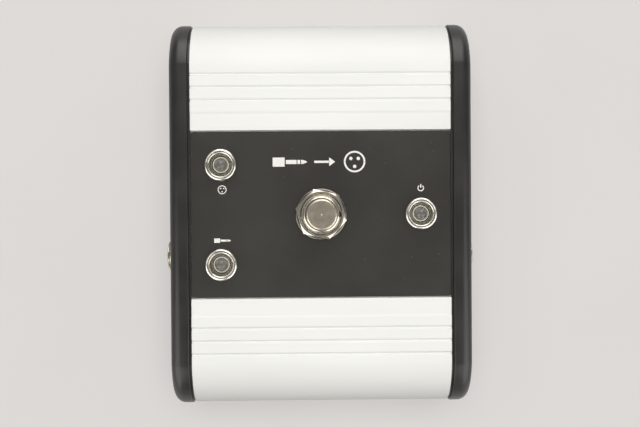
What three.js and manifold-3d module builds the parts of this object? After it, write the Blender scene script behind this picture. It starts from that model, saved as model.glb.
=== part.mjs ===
// A direct injection box for the stage floor. A ribbed aluminium extrusion, closed underneath by a plate
// and at its ends by moulded caps, carries a footswitch, three indicator lights and the connectors.
//
// Millimetres. X runs to the right across the caps, Y to the back and Z up. The origin is on the floor
// under the middle of the box.

import * as THREE from "three";
import { mergeVertices } from "three/addons/utils/BufferGeometryUtils.js";
import Module from "manifold-3d";

const wasm = await Module();
wasm.setup();

// Clearance between parts, overlap of what is joined, and how far a cutter runs past a face
const GAP = 0.3;
const OVERLAP = 0.3;
const PAST = 1;

// Sides of a large and of a small round
const ROUND = 24;
const SMALL_ROUND = 14;

// Enclosure
const SHELL = {
  halfLength: 40,
  halfDepth: 60,
  base: 3.5,
  top: 49,
  land: 48.7,
  wall: 2.2,
  shoulderRadius: 16.2,
  shoulderStart: 82,
};
const SHOULDER = {
  y: SHELL.halfDepth - SHELL.shoulderRadius,
  z: SHELL.top - SHELL.shoulderRadius * Math.sin(THREE.MathUtils.degToRad(SHELL.shoulderStart)),
};
const RECESS = { halfDepth: 25.8, floor: 47.8, ceiling: 45.8, stepInner: 27.8, stepOuter: 28.8 };
const RIBS = { start: 31, pitch: 4, count: 3, grooveDepth: 0.5, grooveHalf: 0.7, floorHalf: 0.2 };
const LEDGE = { innerY: 50, height: 3.3 };
const CARD_SLOT = { innerY: 46.8, outerY: 52.5, lip: 1.2 };
const RIB_ROOT = SHELL.halfDepth - SHELL.wall / 2;
const SCREW_BOSS_RADIUS = 3.2;
const WEB_HALF = 1.5;
const UPPER_BOSS_REACH = 9.2;
const LOWER_BOSS = { y: 53, z: 10.5 };
const CAP = {
  inner: 40.7,
  outer: 46.6,
  proud: 0.3,
  revealInset: 1,
  rim: 3,
  plate: 2.5,
  edgeRadius: 3.4,
  edgeSteps: 5,
};
const CAP_BACK = CAP.outer - CAP.plate;
const TAB = { start: 36.5, thickness: 2, low: 18, high: 32 };
const PLATE = { thickness: 1.2, sideGap: 0.4 };
const FACEPLATE = { halfWidth: 39.9, thickness: 0.5 };
const FACE_TOP = RECESS.floor + FACEPLATE.thickness;
const FOOT = { radius: 6, bottomRadius: 5.2, edge: 0.8, x: 28, y: 42 };

// Fasteners
const SCREW = { shaftRadius: 1.2, holeRadius: 1.5, headRadius: 2.8, headDepth: 1.6 };
const PAN_HEAD = { crownRadius: 2.1, edgeHeight: 0.9 };
const CAP_SCREW_LENGTH = 14;
const BOTTOM_SCREW = { x: 28, y: 54, reach: 8, holeTop: 8.6 };

// Footswitch
const BUSHING = { radius: 6, bore: 5, top: 54.4, keyWidth: 1.5, keyDepth: 0.7 };
const SWITCH_BODY = { half: 8.5, bottom: 28, top: 42, wall: 1 };
const SWITCH_BASE = { thickness: 1.5 };
const LUG = { pitchX: 4.8, y: 3.5, halfX: 0.3, halfY: 1.2, bottom: 22 };
const STUD = { inner: 1.2, outer: 2.6, halfY: 0.7, top: 30.2 };
const BUTTON = { radius: 4.8, top: 60.6, edge: 0.8, collarRadius: 6.2, collarLow: 39.3, collarHigh: 40.7 };
const STEM = { radius: 1.5, bottom: 34.3 };
const CONTACT = { radius: 3.6, thickness: 0.8 };
const SPRING = { radius: 5, wire: 0.45, turns: 5, stepsPerTurn: 12, clearance: 0.1 };
const SWITCH_NUT = { acrossFlats: 14, height: 2.2, turn: 47 };
const SWITCH_WASHER = { radius: 7.9, thickness: 0.8 };
const BACKING_NUT = { height: 2, turn: 15 };

// Indicator lights
const LIGHTS = [
  { name: "xlr_light", x: -30.7, y: 15.3 },
  { name: "quarter_inch_light", x: -30.7, y: -15.3 },
  { name: "power_light", x: 30.7, y: 0 },
];
const BEZEL = { barrel: 3.8, bore: 2.8, bottom: 38.6, height: 1.9 };
const BEZEL_ROLL = [[5.15, 0], [5.15, 0.3], [4.95, 0.75], [4.55, 1], [4.15, 0.8], [3.95, 0.7], [3.75, 0.78],
  [3.5, 0.55], [BEZEL.bore, 0.05]];
const LAMP = { radius: 2.5, bottom: 41.4, shoulder: 48, top: 50 };
const LAMP_LEG = { half: 0.25, spacing: 1.27, bottom: 36.5 };
const BEZEL_NUT = { acrossFlats: 10, height: 2.5 };

// Circuit board and the connectors that stand on it
const BOARD = { halfX: 38.5, halfY: 48.4, bottom: 11.1, top: 12.7 };
const JACK = { y: -13.7, z: 23, front: 50.2, thread: 4.7, bore: 3.3, boreEnd: 18.5, back: 17.3 };
const JACK_BODY = { halfWidth: 8, height: 8 };
const JACK_NUT = { acrossFlats: 12, height: 2 };
const TIP_SPRING = { front: 33.7, back: 24.6, halfWidth: 1.6, thickness: 0.5, low: 3.7, top: 9, play: 1.2 };
const XLR = { y: 15, z: 24.5, barrel: 10.5, bore: 8.15, flangeY: 12.5, flangeZ: 14.5, flange: 2, back: 25 };
const XLR_SCREW = { y: 9.5, z: 12, length: 4.4 };
const XLR_INSERT = { front: 33.5, back: 25.5 };
const XLR_PIN = { radius: 1.2, circle: 4.1, tip: 45.1, tail: 23.5, angles: [140, 40, 270] };
const LIFT = { y: -1.6, z: 23, slotHalfY: 1.3, slotHalfZ: 3, halfY: 3.1, halfZ: 6, depth: 6, wall: 0.8 };
const LIFT_SLIDER = { halfY: 1, length: 3, front: 47.4, travel: 2.4 };
const LIFT_CARRIAGE = { halfY: 2, length: 5, thickness: 1.4 };
const POWER = { y: 12, z: 18.5, collar: 4.7, bore: 3.15, boreEnd: 36, back: 32, halfWidth: 4.7, height: 5 };
const POWER_PIN = { radius: 1, tip: 45.6, tail: 31 };

// Parts on the board
const TRANSFORMER = { x: 20, y: 33, halfX: 13, halfY: 7, height: 22, leg: 4.5, window: 9.5, yoke: 5 };
const WINDING = { halfX: 9.2, halfY: 11, clearance: 0.3 };
const RELAY = { x: -14, y: 31, halfX: 10, halfY: 5, height: 10, edge: 0.8 };
const RIBBON = { halfWidth: 3, thickness: 0.6, startY: 5, top: 21.7, bendRadius: 4, endY: 14 };

const MATERIALS = {
  anodised: { color: 0xe4e5e6, roughness: 0.42, metalness: 0.85 },
  blackPlastic: { color: 0x1b1a19, roughness: 0.45, metalness: 0 },
  blackPanel: { color: 0x262422, roughness: 0.7, metalness: 0.1 },
  blackSteel: { color: 0x1d1d1e, roughness: 0.6, metalness: 0.4 },
  nickel: { color: 0xb9b4ab, roughness: 0.28, metalness: 1 },
  chrome: { color: 0xd9d9d8, roughness: 0.12, metalness: 1 },
  zinc: { color: 0x8d8c88, roughness: 0.4, metalness: 0.9 },
  brass: { color: 0xb99a55, roughness: 0.35, metalness: 1 },
  rubber: { color: 0x161616, roughness: 0.85, metalness: 0 },
  lens: { color: 0xdfe3e0, roughness: 0.1, metalness: 0 },
  board: { color: 0x1f4a2c, roughness: 0.6, metalness: 0 },
  phenolic: { color: 0x6b4a2b, roughness: 0.7, metalness: 0 },
  lamination: { color: 0x5d5c5a, roughness: 0.5, metalness: 0.7 },
  winding: { color: 0x9a6a2f, roughness: 0.5, metalness: 0 },
  relay: { color: 0xd8d3c5, roughness: 0.5, metalness: 0 },
  ribbon: { color: 0x8b8a86, roughness: 0.6, metalness: 0 },
};

// Frames that lay a drawing's plane across an axis, with the drawing's own Z along that axis
const ACROSS = {
  x: new THREE.Matrix4().makeBasis(
    new THREE.Vector3(0, 1, 0), new THREE.Vector3(0, 0, 1), new THREE.Vector3(1, 0, 0)),
  z: new THREE.Matrix4(),
};

// Frames that lay the Y axis of a turned profile along an axis
const ALONG = {
  x: new THREE.Matrix4().makeBasis(
    new THREE.Vector3(0, 1, 0), new THREE.Vector3(1, 0, 0), new THREE.Vector3(0, 0, -1)),
  z: new THREE.Matrix4().makeBasis(
    new THREE.Vector3(1, 0, 0), new THREE.Vector3(0, 0, 1), new THREE.Vector3(0, -1, 0)),
};

/** The corners and triangles of a closed surface, welded, without empty triangles, facing out. */
function weld(geometry) {
  const bare = new THREE.BufferGeometry();
  bare.setAttribute("position", geometry.getAttribute("position"));
  bare.setIndex(geometry.getIndex());
  const welded = mergeVertices(bare, 1e-4);
  const corners = welded.getAttribute("position").array;
  const index = welded.getIndex().array;
  const triangles = [];
  let volume = 0;
  for (let i = 0; i < index.length; i += 3) {
    const [a, b, c] = index.slice(i, i + 3);
    if (a === b || b === c || c === a) continue;
    triangles.push(a, b, c);
    const [p, q, r] = [a, b, c].map((k) => new THREE.Vector3().fromArray(corners, 3 * k));
    volume += p.dot(q.cross(r));
  }
  if (volume < 0) triangles.reverse();
  return { corners: new Float32Array(corners), triangles: new Uint32Array(triangles) };
}

function solid(geometry) {
  const { corners, triangles } = weld(geometry);
  return new wasm.Manifold(new wasm.Mesh({ numProp: 3, vertProperties: corners, triVerts: triangles }));
}

function join(first, ...others) {
  return others.reduce((sum, other) => sum.add(other), first);
}

function cut(body, ...tools) {
  return tools.reduce((rest, tool) => rest.subtract(tool), body);
}

function block([x0, x1], [y0, y1], [z0, z1]) {
  const box = new THREE.BoxGeometry(Math.abs(x1 - x0), Math.abs(y1 - y0), Math.abs(z1 - z0));
  return solid(box.translate((x0 + x1) / 2, (y0 + y1) / 2, (z0 + z1) / 2));
}

function prism(axis, points, from, to) {
  const shape = new THREE.Shape(points);
  const body = new THREE.ExtrudeGeometry(shape, { depth: Math.abs(to - from), bevelEnabled: false });
  return solid(body.translate(0, 0, Math.min(from, to)).applyMatrix4(ACROSS[axis]));
}

/** Points on an arc, from one angle in degrees to another. */
function arc(cx, cy, radius, start, end, steps) {
  return Array.from({ length: steps + 1 }, (_, i) => {
    const angle = THREE.MathUtils.degToRad(start + ((end - start) * i) / steps);
    return new THREE.Vector2(cx + radius * Math.cos(angle), cy + radius * Math.sin(angle));
  });
}

function circle(cx, cy, radius, sides) {
  return arc(cx, cy, radius, 0, 360 - 360 / sides, sides - 1);
}

/** A round bar along an axis, centred at (u, v) in the plane across it. */
function rod(axis, radius, from, to, u = 0, v = 0, sides = ROUND) {
  return prism(axis, circle(u, v, radius, sides), from, to);
}

function hexagon(axis, acrossFlats, from, to, turn = 0) {
  const corner = acrossFlats / Math.sqrt(3);
  return prism(axis, arc(0, 0, corner, turn, turn + 300, 5), from, to);
}

/** A turned body. Its profile is a list of [radius, place on the axis], from the axis back to the axis. */
function turned(axis, profile, u = 0, v = 0, sides = ROUND) {
  const points = profile.map(([radius, along]) => new THREE.Vector2(radius, along));
  const body = new THREE.LatheGeometry(points, sides).applyMatrix4(ALONG[axis]);
  return solid(axis === "x" ? body.translate(0, u, v) : body.translate(u, v, 0));
}

function mirrorY(points) {
  return points.map((p) => new THREE.Vector2(-p.x, p.y)).reverse();
}

function piece(name, body, material) {
  const { vertProperties, triVerts } = body.getMesh();
  const geometry = new THREE.BufferGeometry();
  geometry.setAttribute("position", new THREE.BufferAttribute(new Float32Array(vertProperties), 3));
  geometry.setIndex(new THREE.BufferAttribute(new Uint32Array(triVerts), 1));
  geometry.computeVertexNormals();
  const mesh = new THREE.Mesh(geometry, new THREE.MeshStandardMaterial(MATERIALS[material]));
  mesh.name = name;
  return mesh;
}

function at(x, y, z, ...members) {
  const group = new THREE.Group();
  group.position.set(x, y, z);
  group.add(...members);
  return group;
}

/** The outside of the shell: from the recess over a lower land, ribs and a shoulder to the base. */
function outerProfile() {
  const { start, pitch, count, grooveDepth, grooveHalf, floorHalf } = RIBS;
  const points = [
    new THREE.Vector2(RECESS.halfDepth, RECESS.floor),
    new THREE.Vector2(RECESS.halfDepth, SHELL.land),
    new THREE.Vector2(start - floorHalf, SHELL.land),
    new THREE.Vector2(start + grooveHalf, SHELL.top),
  ];
  for (let i = 1; i <= count; i += 1) {
    const middle = start + i * pitch;
    points.push(
      new THREE.Vector2(middle - grooveHalf, SHELL.top),
      new THREE.Vector2(middle - floorHalf, SHELL.top - grooveDepth),
      new THREE.Vector2(middle + floorHalf, SHELL.top - grooveDepth),
      new THREE.Vector2(middle + grooveHalf, SHELL.top));
  }
  points.push(...arc(SHOULDER.y, SHOULDER.z, SHELL.shoulderRadius, SHELL.shoulderStart, 0, 12));
  points.push(new THREE.Vector2(SHELL.halfDepth, SHELL.base));
  return points;
}

function innerProfile() {
  const radius = SHELL.shoulderRadius - SHELL.wall;
  const ceiling = SHELL.top - SHELL.wall;
  return [
    new THREE.Vector2(SHELL.halfDepth - SHELL.wall, SHELL.base),
    ...arc(SHOULDER.y, SHOULDER.z, radius, 0, SHELL.shoulderStart, 10),
    new THREE.Vector2(RECESS.stepOuter, ceiling),
    new THREE.Vector2(RECESS.stepInner, RECESS.ceiling),
  ];
}

/** The places of the cap screws, as [y, z]. */
function capScrewPlaces() {
  const diagonal = UPPER_BOSS_REACH * Math.SQRT1_2;
  return [-1, 1].flatMap((side) => [
    [side * (SHOULDER.y + diagonal), SHOULDER.z + diagonal],
    [side * LOWER_BOSS.y, LOWER_BOSS.z],
  ]);
}

/** Screw channels inside the shell, each tied to the wall by a web. */
function screwChannels() {
  const [from, to] = [-SHELL.halfLength, SHELL.halfLength];
  const bosses = capScrewPlaces().map(([y, z]) => rod("x", SCREW_BOSS_RADIUS, from, to, y, z, 16));
  const reach = SHELL.shoulderRadius - SHELL.wall / 2;
  const webs = [-1, 1].flatMap((side) => {
    const lower = block([from, to], [side * LOWER_BOSS.y, side * RIB_ROOT],
      [LOWER_BOSS.z - WEB_HALF, LOWER_BOSS.z + WEB_HALF]);
    const outline = [[UPPER_BOSS_REACH, -WEB_HALF], [reach, -WEB_HALF], [reach, WEB_HALF],
      [UPPER_BOSS_REACH, WEB_HALF]];
    const upper = outline.map(([along, across]) => new THREE.Vector2(
      side * (SHOULDER.y + (along - across) * Math.SQRT1_2), SHOULDER.z + (along + across) * Math.SQRT1_2));
    return [lower, prism("x", upper, from, to)];
  });
  return join(...bosses, ...webs);
}

/** Ledges for the bottom plate and the lips that hold the circuit board's edges. */
function ledges() {
  const length = [-SHELL.halfLength, SHELL.halfLength];
  const plateTop = SHELL.base + PLATE.thickness;
  const levels = [BOARD.bottom - GAP - CARD_SLOT.lip, BOARD.top + GAP];
  return join(...[-1, 1].flatMap((side) => [
    block(length, [side * LEDGE.innerY, side * RIB_ROOT], [plateTop, plateTop + LEDGE.height]),
    ...levels.map((z) => block(length, [side * CARD_SLOT.innerY, side * CARD_SLOT.outerY],
      [z, z + CARD_SLOT.lip])),
  ]));
}

function topShell() {
  const [from, to] = [-SHELL.halfLength, SHELL.halfLength];
  const outer = outerProfile();
  const inner = innerProfile();
  const skin = prism("x", [...mirrorY(outer), ...outer, ...inner, ...mirrorY(inner)], from, to);
  const body = join(skin, screwChannels(), ledges());
  const bores = capScrewPlaces().map(([y, z]) =>
    rod("x", SCREW.holeRadius, from - PAST, to + PAST, y, z, SMALL_ROUND));
  const plateHoles = bottomScrewPlaces().map(([x, y]) =>
    rod("z", SCREW.holeRadius, SHELL.base, BOTTOM_SCREW.holeTop, x, y, SMALL_ROUND));
  return cut(body, ...bores, ...plateHoles, ...panelHoles(RECESS.ceiling - PAST, SHELL.top));
}

/** The holes for the lights and the footswitch, through the shell and the faceplate. */
function panelHoles(from, to) {
  const lights = LIGHTS.map(({ x, y }) => rod("z", BEZEL.barrel + GAP, from, to, x, y));
  return [...lights, rod("z", BUSHING.radius + GAP, from, to)];
}

function faceplate() {
  const depth = RECESS.halfDepth - GAP;
  const { halfWidth } = FACEPLATE;
  const sheet = block([-halfWidth, halfWidth], [-depth, depth], [RECESS.floor, FACE_TOP]);
  return cut(sheet, ...panelHoles(RECESS.floor - PAST, FACE_TOP + PAST));
}

/** The outline of an end cap, moved inwards all round by an inset. */
function capOutline(inset) {
  const radius = SHELL.shoulderRadius + CAP.proud - inset;
  const half = [
    ...arc(SHOULDER.y, SHOULDER.z, radius, SHELL.shoulderStart, 0, 12),
    new THREE.Vector2(SHOULDER.y + radius, SHELL.base + inset),
  ];
  return [...mirrorY(half), ...half];
}

/** The solid body of an end cap, with its outer edge rounded over. */
function capBody(side) {
  const straight = CAP.outer - CAP.inner;
  const body = new THREE.ExtrudeGeometry(new THREE.Shape(capOutline(0)), {
    depth: straight,
    bevelThickness: CAP.edgeRadius,
    bevelSize: CAP.edgeRadius,
    bevelOffset: -CAP.edgeRadius,
    bevelSegments: CAP.edgeSteps,
  });
  body.translate(0, 0, CAP.outer - straight - CAP.edgeRadius).applyMatrix4(ACROSS.x).scale(side, 1, 1);
  const everything = 2 * SHELL.halfDepth;
  const inside = block([side * CAP.inner, 0], [-everything, everything], [-everything, everything]);
  return cut(solid(body), inside);
}

/** A countersunk screw hole through the plate of an end cap. */
function countersink(side, y, z) {
  const { headRadius, headDepth, holeRadius } = SCREW;
  const mouth = headRadius + GAP;
  return turned("x", [
    [0, side * (SHELL.halfLength - PAST)],
    [holeRadius, side * (SHELL.halfLength - PAST)],
    [holeRadius, side * (CAP.outer - headDepth)],
    [mouth, side * CAP.outer],
    [mouth, side * (CAP.outer + PAST)],
    [0, side * (CAP.outer + PAST)],
  ], y, z, SMALL_ROUND);
}

/** An end cap: a hollow moulding with a set-back edge, screw columns and locating tabs. */
function endCap(side, openings) {
  const [start, back] = [side * SHELL.halfLength, side * CAP_BACK];
  const reveal = prism("x", capOutline(CAP.revealInset), start, side * CAP.inner);
  const hollow = prism("x", capOutline(CAP.rim), side * (SHELL.halfLength - PAST), back);
  const columns = capScrewPlaces().map(([y, z]) =>
    rod("x", SCREW_BOSS_RADIUS + GAP, start, side * (CAP_BACK + OVERLAP), y, z, 16));
  const tabY = SHELL.halfDepth - SHELL.wall - 2 * GAP + OVERLAP / 2;
  const tabs = [-1, 1].map((end) => block([side * TAB.start, side * (CAP_BACK + OVERLAP)],
    [end * (tabY - TAB.thickness), end * tabY], [TAB.low, TAB.high]));
  const holes = capScrewPlaces().map(([y, z]) => countersink(side, y, z));
  return cut(join(cut(join(capBody(side), reveal), hollow), ...columns, ...tabs), ...holes, ...openings);
}

function throughCap(side, radius, y, z) {
  return rod("x", radius, side * (CAP_BACK - PAST), side * (CAP.outer + PAST), y, z);
}

function xlrScrewPlaces() {
  return [-1, 1].map((end) => [XLR.y + end * XLR_SCREW.y, XLR.z - end * XLR_SCREW.z]);
}

function leftOpenings() {
  return [
    throughCap(-1, XLR.barrel + GAP, XLR.y, XLR.z),
    throughCap(-1, JACK.thread + GAP, JACK.y, JACK.z),
    block([-CAP_BACK + PAST, -CAP.outer - PAST], [LIFT.y - LIFT.slotHalfY, LIFT.y + LIFT.slotHalfY],
      [LIFT.z - LIFT.slotHalfZ, LIFT.z + LIFT.slotHalfZ]),
    ...xlrScrewPlaces().map(([y, z]) => countersink(-1, y, z)),
  ];
}

function rightOpenings() {
  return [
    throughCap(1, JACK.thread + GAP, JACK.y, JACK.z),
    throughCap(1, POWER.collar + GAP, POWER.y, POWER.z),
  ];
}

function bottomScrewPlaces() {
  return [-1, 1].flatMap((sx) => [-1, 1].map((sy) => [sx * BOTTOM_SCREW.x, sy * BOTTOM_SCREW.y]));
}

function bottomPlate() {
  const halfX = SHELL.halfLength - GAP;
  const halfY = SHELL.halfDepth - SHELL.wall - PLATE.sideGap;
  const sheet = block([-halfX, halfX], [-halfY, halfY], [SHELL.base, SHELL.base + PLATE.thickness]);
  const holes = bottomScrewPlaces().map(([x, y]) =>
    rod("z", SCREW.holeRadius, SHELL.base - PAST, SHELL.base + PLATE.thickness + PAST, x, y, SMALL_ROUND));
  return cut(sheet, ...holes);
}

/** A countersunk screw along X. The face of its head is at the origin and it points to -X. */
function countersunkScrew(length) {
  return turned("x", [
    [0, -length],
    [SCREW.shaftRadius, -length],
    [SCREW.shaftRadius, -SCREW.headDepth],
    [SCREW.headRadius, -GAP],
    [SCREW.headRadius, 0],
    [0, 0],
  ], 0, 0, SMALL_ROUND);
}

/** A pan head screw along Z. The underside of its head is at the origin and it points up. */
function panScrew(length) {
  return turned("z", [
    [0, -SCREW.headDepth],
    [PAN_HEAD.crownRadius, -SCREW.headDepth],
    [SCREW.headRadius, -PAN_HEAD.edgeHeight],
    [SCREW.headRadius, 0],
    [SCREW.shaftRadius, 0],
    [SCREW.shaftRadius, length],
    [0, length],
  ], 0, 0, SMALL_ROUND);
}

function rubberFoot() {
  return turned("z", [
    [0, 0],
    [FOOT.bottomRadius, 0],
    [FOOT.radius, FOOT.edge],
    [FOOT.radius, SHELL.base],
    [0, SHELL.base],
  ], 0, 0, 20);
}

function capScrews(side, sideName) {
  return capScrewPlaces().map(([y, z], i) => {
    const screw = piece(`${sideName}_cap_screw_${i + 1}`, countersunkScrew(CAP_SCREW_LENGTH), "blackSteel");
    screw.position.set(side * CAP.outer, y, z);
    screw.rotation.z = side < 0 ? Math.PI : 0;
    return screw;
  });
}

function bottomScrews() {
  return bottomScrewPlaces().map(([x, y], i) => {
    const screw = piece(`bottom_screw_${i + 1}`, panScrew(BOTTOM_SCREW.reach - SHELL.base), "blackSteel");
    screw.position.set(x, y, SHELL.base);
    return screw;
  });
}

function feet() {
  const places = [-1, 1].flatMap((sx) => [-1, 1].map((sy) => [sx * FOOT.x, sy * FOOT.y]));
  return places.map(([x, y], i) => {
    const foot = piece(`rubber_foot_${i + 1}`, rubberFoot(), "rubber");
    foot.position.set(x, y, 0);
    return foot;
  });
}

function enclosure() {
  return at(0, 0, 0,
    piece("top_shell", topShell(), "anodised"),
    piece("faceplate", faceplate(), "blackPanel"),
    piece("left_end_cap", endCap(-1, leftOpenings()), "blackPlastic"),
    piece("right_end_cap", endCap(1, rightOpenings()), "blackPlastic"),
    piece("bottom_plate", bottomPlate(), "blackSteel"),
    ...capScrews(-1, "left"),
    ...capScrews(1, "right"),
    ...bottomScrews(),
    ...feet());
}

/** The switch's case with its threaded bushing, open below and bored for the button. */
function switchHousing() {
  const { half, bottom, top, wall } = SWITCH_BODY;
  const inner = half - wall;
  const keyway = [BUSHING.radius - BUSHING.keyDepth, BUSHING.radius + PAST];
  return cut(
    join(
      block([-half, half], [-half, half], [bottom, top]),
      rod("z", BUSHING.radius, top - OVERLAP, BUSHING.top)),
    block([-inner, inner], [-inner, inner], [bottom - PAST, top - wall]),
    rod("z", BUSHING.bore, top - wall - PAST, BUSHING.top + PAST),
    block(keyway, [-BUSHING.keyWidth / 2, BUSHING.keyWidth / 2], [top, BUSHING.top + PAST]));
}

/** The insulating base, with six solder lugs below and two fixed contacts above. */
function switchBase() {
  const { half, bottom } = SWITCH_BODY;
  const low = bottom - SWITCH_BASE.thickness;
  const lugs = [-1, 0, 1].flatMap((row) => [-1, 1].map((column) => block(
    [row * LUG.pitchX - LUG.halfX, row * LUG.pitchX + LUG.halfX],
    [column * LUG.y - LUG.halfY, column * LUG.y + LUG.halfY],
    [LUG.bottom, low + OVERLAP])));
  const studs = [-1, 1].map((end) => block([end * STUD.inner, end * STUD.outer], [-STUD.halfY, STUD.halfY],
    [bottom - OVERLAP, STUD.top]));
  return join(block([-half, half], [-half, half], [low, bottom]), ...lugs, ...studs);
}

function switchButton() {
  const { radius, top, edge, collarRadius, collarLow, collarHigh } = BUTTON;
  const crown = arc(radius - edge, top - edge, edge, 0, 90, 3).map((p) => [p.x, p.y]);
  return turned("z", [
    [0, STEM.bottom],
    [STEM.radius, STEM.bottom],
    [STEM.radius, collarLow],
    [collarRadius, collarLow],
    [collarRadius, collarHigh],
    [radius, collarHigh],
    ...crown,
    [0, top],
  ]);
}

/** The return spring, a coil of round wire between the base and the button's collar. */
function switchSpring() {
  const start = SWITCH_BODY.bottom + SPRING.wire + SPRING.clearance;
  const end = BUTTON.collarLow - SPRING.wire - SPRING.clearance;
  const steps = SPRING.turns * SPRING.stepsPerTurn;
  const centres = Array.from({ length: steps + 1 }, (_, i) => {
    const angle = (2 * Math.PI * i) / SPRING.stepsPerTurn;
    const height = start + ((end - start) * i) / steps;
    return new THREE.Vector3(SPRING.radius * Math.cos(angle), SPRING.radius * Math.sin(angle), height);
  });
  const wire = new THREE.Shape(circle(0, 0, SPRING.wire, 6));
  const path = new THREE.CatmullRomCurve3(centres);
  return solid(new THREE.ExtrudeGeometry(wire, { steps, extrudePath: path }));
}

/** A hexagon nut along Z with a clear hole. */
function nut(acrossFlats, hole, from, to, turn) {
  return cut(hexagon("z", acrossFlats, from, to, turn), rod("z", hole, from - PAST, to + PAST));
}

function footswitch() {
  const washerTop = FACE_TOP + SWITCH_WASHER.thickness;
  const hole = BUSHING.radius + GAP;
  const { acrossFlats, height, turn } = SWITCH_NUT;
  const washer = cut(rod("z", SWITCH_WASHER.radius, FACE_TOP, washerTop),
    rod("z", hole, FACE_TOP - PAST, washerTop + PAST));
  const front = nut(acrossFlats, hole, washerTop, washerTop + height, turn);
  const backing = nut(acrossFlats, hole, RECESS.ceiling - BACKING_NUT.height, RECESS.ceiling,
    BACKING_NUT.turn);
  const bridge = rod("z", CONTACT.radius, STEM.bottom - CONTACT.thickness, STEM.bottom);
  return at(0, 0, 0,
    piece("footswitch_housing", switchHousing(), "nickel"),
    piece("footswitch_terminal_base", switchBase(), "phenolic"),
    piece("footswitch_button", switchButton(), "nickel"),
    piece("footswitch_contact_bridge", bridge, "brass"),
    piece("footswitch_spring", switchSpring(), "zinc"),
    piece("footswitch_nut", front, "nickel"),
    piece("footswitch_washer", washer, "nickel"),
    piece("footswitch_backing_nut", backing, "nickel"));
}

/** A chromed bezel: a rolled ring on the faceplate and a threaded barrel through the panel. */
function bezel() {
  const { barrel, bore, bottom, height } = BEZEL;
  const roll = BEZEL_ROLL.map(([radius, share]) => [radius, FACE_TOP + share * height]);
  const [, mouth] = roll.at(-1);
  const body = turned("z", [[0, bottom], [barrel, bottom], [barrel, FACE_TOP], ...roll, [0, mouth]]);
  return cut(body, rod("z", bore, bottom - PAST, FACE_TOP + PAST));
}

/** A clear lamp with a domed top and two legs. */
function lamp() {
  const { radius, bottom, shoulder, top } = LAMP;
  const dome = arc(0, 0, 1, 0, 72, 4).map((p) => [radius * p.x, shoulder + (top - shoulder) * p.y]);
  const body = turned("z", [[0, bottom], [radius, bottom], ...dome, [0, top]], 0, 0, 16);
  const { half, spacing } = LAMP_LEG;
  const legs = [-1, 1].map((end) => block([end * spacing - half, end * spacing + half], [-half, half],
    [LAMP_LEG.bottom, bottom + OVERLAP]));
  return join(body, ...legs);
}

function lights() {
  const { acrossFlats, height } = BEZEL_NUT;
  const hole = BEZEL.barrel + GAP;
  return at(0, 0, 0, ...LIGHTS.map(({ name, x, y }) => at(x, y, 0,
    piece(`${name}_bezel`, bezel(), "chrome"),
    piece(`${name}_lamp`, lamp(), "lens"),
    piece(`${name}_nut`, nut(acrossFlats, hole, RECESS.ceiling - height, RECESS.ceiling, 0), "nickel"))));
}

/** A quarter inch jack facing +X, with its axis on the local X axis. */
function jackBody() {
  const { front, thread, bore, boreEnd, back } = JACK;
  const foot = BOARD.top - JACK.z;
  return cut(
    join(
      block([back, CAP_BACK], [-JACK_BODY.halfWidth, JACK_BODY.halfWidth], [foot, JACK_BODY.height]),
      rod("x", thread, CAP_BACK - OVERLAP, front)),
    rod("x", bore, boreEnd, front + PAST),
    block([TIP_SPRING.back - TIP_SPRING.play, TIP_SPRING.front + TIP_SPRING.play],
      [-TIP_SPRING.halfWidth - GAP, TIP_SPRING.halfWidth + GAP], [0, JACK_BODY.height + PAST]));
}

function jackNut() {
  const [inner, outer] = [CAP.outer, CAP.outer + JACK_NUT.height];
  return cut(hexagon("x", JACK_NUT.acrossFlats, inner, outer, 90),
    rod("x", JACK.thread + GAP, inner - PAST, outer + PAST));
}

/** The tip contact: a flat spring over the bore, with its tail turned up. */
function tipSpring() {
  const { front, back, halfWidth, thickness, low, top } = TIP_SPRING;
  const blade = block([back, front], [-halfWidth, halfWidth], [low, low + thickness]);
  const tail = block([back, back + thickness], [-halfWidth, halfWidth], [low, top]);
  return join(blade, tail);
}

function jack(name, side) {
  const group = at(0, JACK.y, JACK.z,
    piece(`${name}_jack`, jackBody(), "blackPlastic"),
    piece(`${name}_jack_nut`, jackNut(), "nickel"),
    piece(`${name}_jack_tip_spring`, tipSpring(), "nickel"));
  group.rotation.z = side < 0 ? Math.PI : 0;
  return group;
}

/** The XLR receptacle's metal shell facing +X: flange behind the cap, round mouth, housing on the board. */
function xlrShell() {
  const flangeBack = CAP_BACK - XLR.flange;
  const screwHoles = [-1, 1].map((end) => rod("x", SCREW.holeRadius, flangeBack - PAST, CAP_BACK + PAST,
    end * XLR_SCREW.y, end * XLR_SCREW.z, SMALL_ROUND));
  return cut(
    join(
      block([flangeBack, CAP_BACK], [-XLR.flangeY, XLR.flangeY], [-XLR.flangeZ, XLR.flangeZ]),
      rod("x", XLR.barrel, CAP_BACK - OVERLAP, CAP.outer),
      block([XLR.back, flangeBack + OVERLAP], [-XLR.barrel, XLR.barrel], [BOARD.top - XLR.z, XLR.barrel])),
    rod("x", XLR.bore, XLR.back - PAST, CAP.outer + PAST),
    ...screwHoles);
}

function xlrPinPlaces() {
  return XLR_PIN.angles.map((degrees) => {
    const angle = THREE.MathUtils.degToRad(degrees);
    return [XLR_PIN.circle * Math.cos(angle), XLR_PIN.circle * Math.sin(angle)];
  });
}

function xlrInsert() {
  const { front, back } = XLR_INSERT;
  const holes = xlrPinPlaces().map(([y, z]) =>
    rod("x", XLR_PIN.radius + GAP, back - PAST, front + PAST, y, z, SMALL_ROUND));
  return cut(rod("x", XLR.bore - GAP, back, front), ...holes);
}

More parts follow.
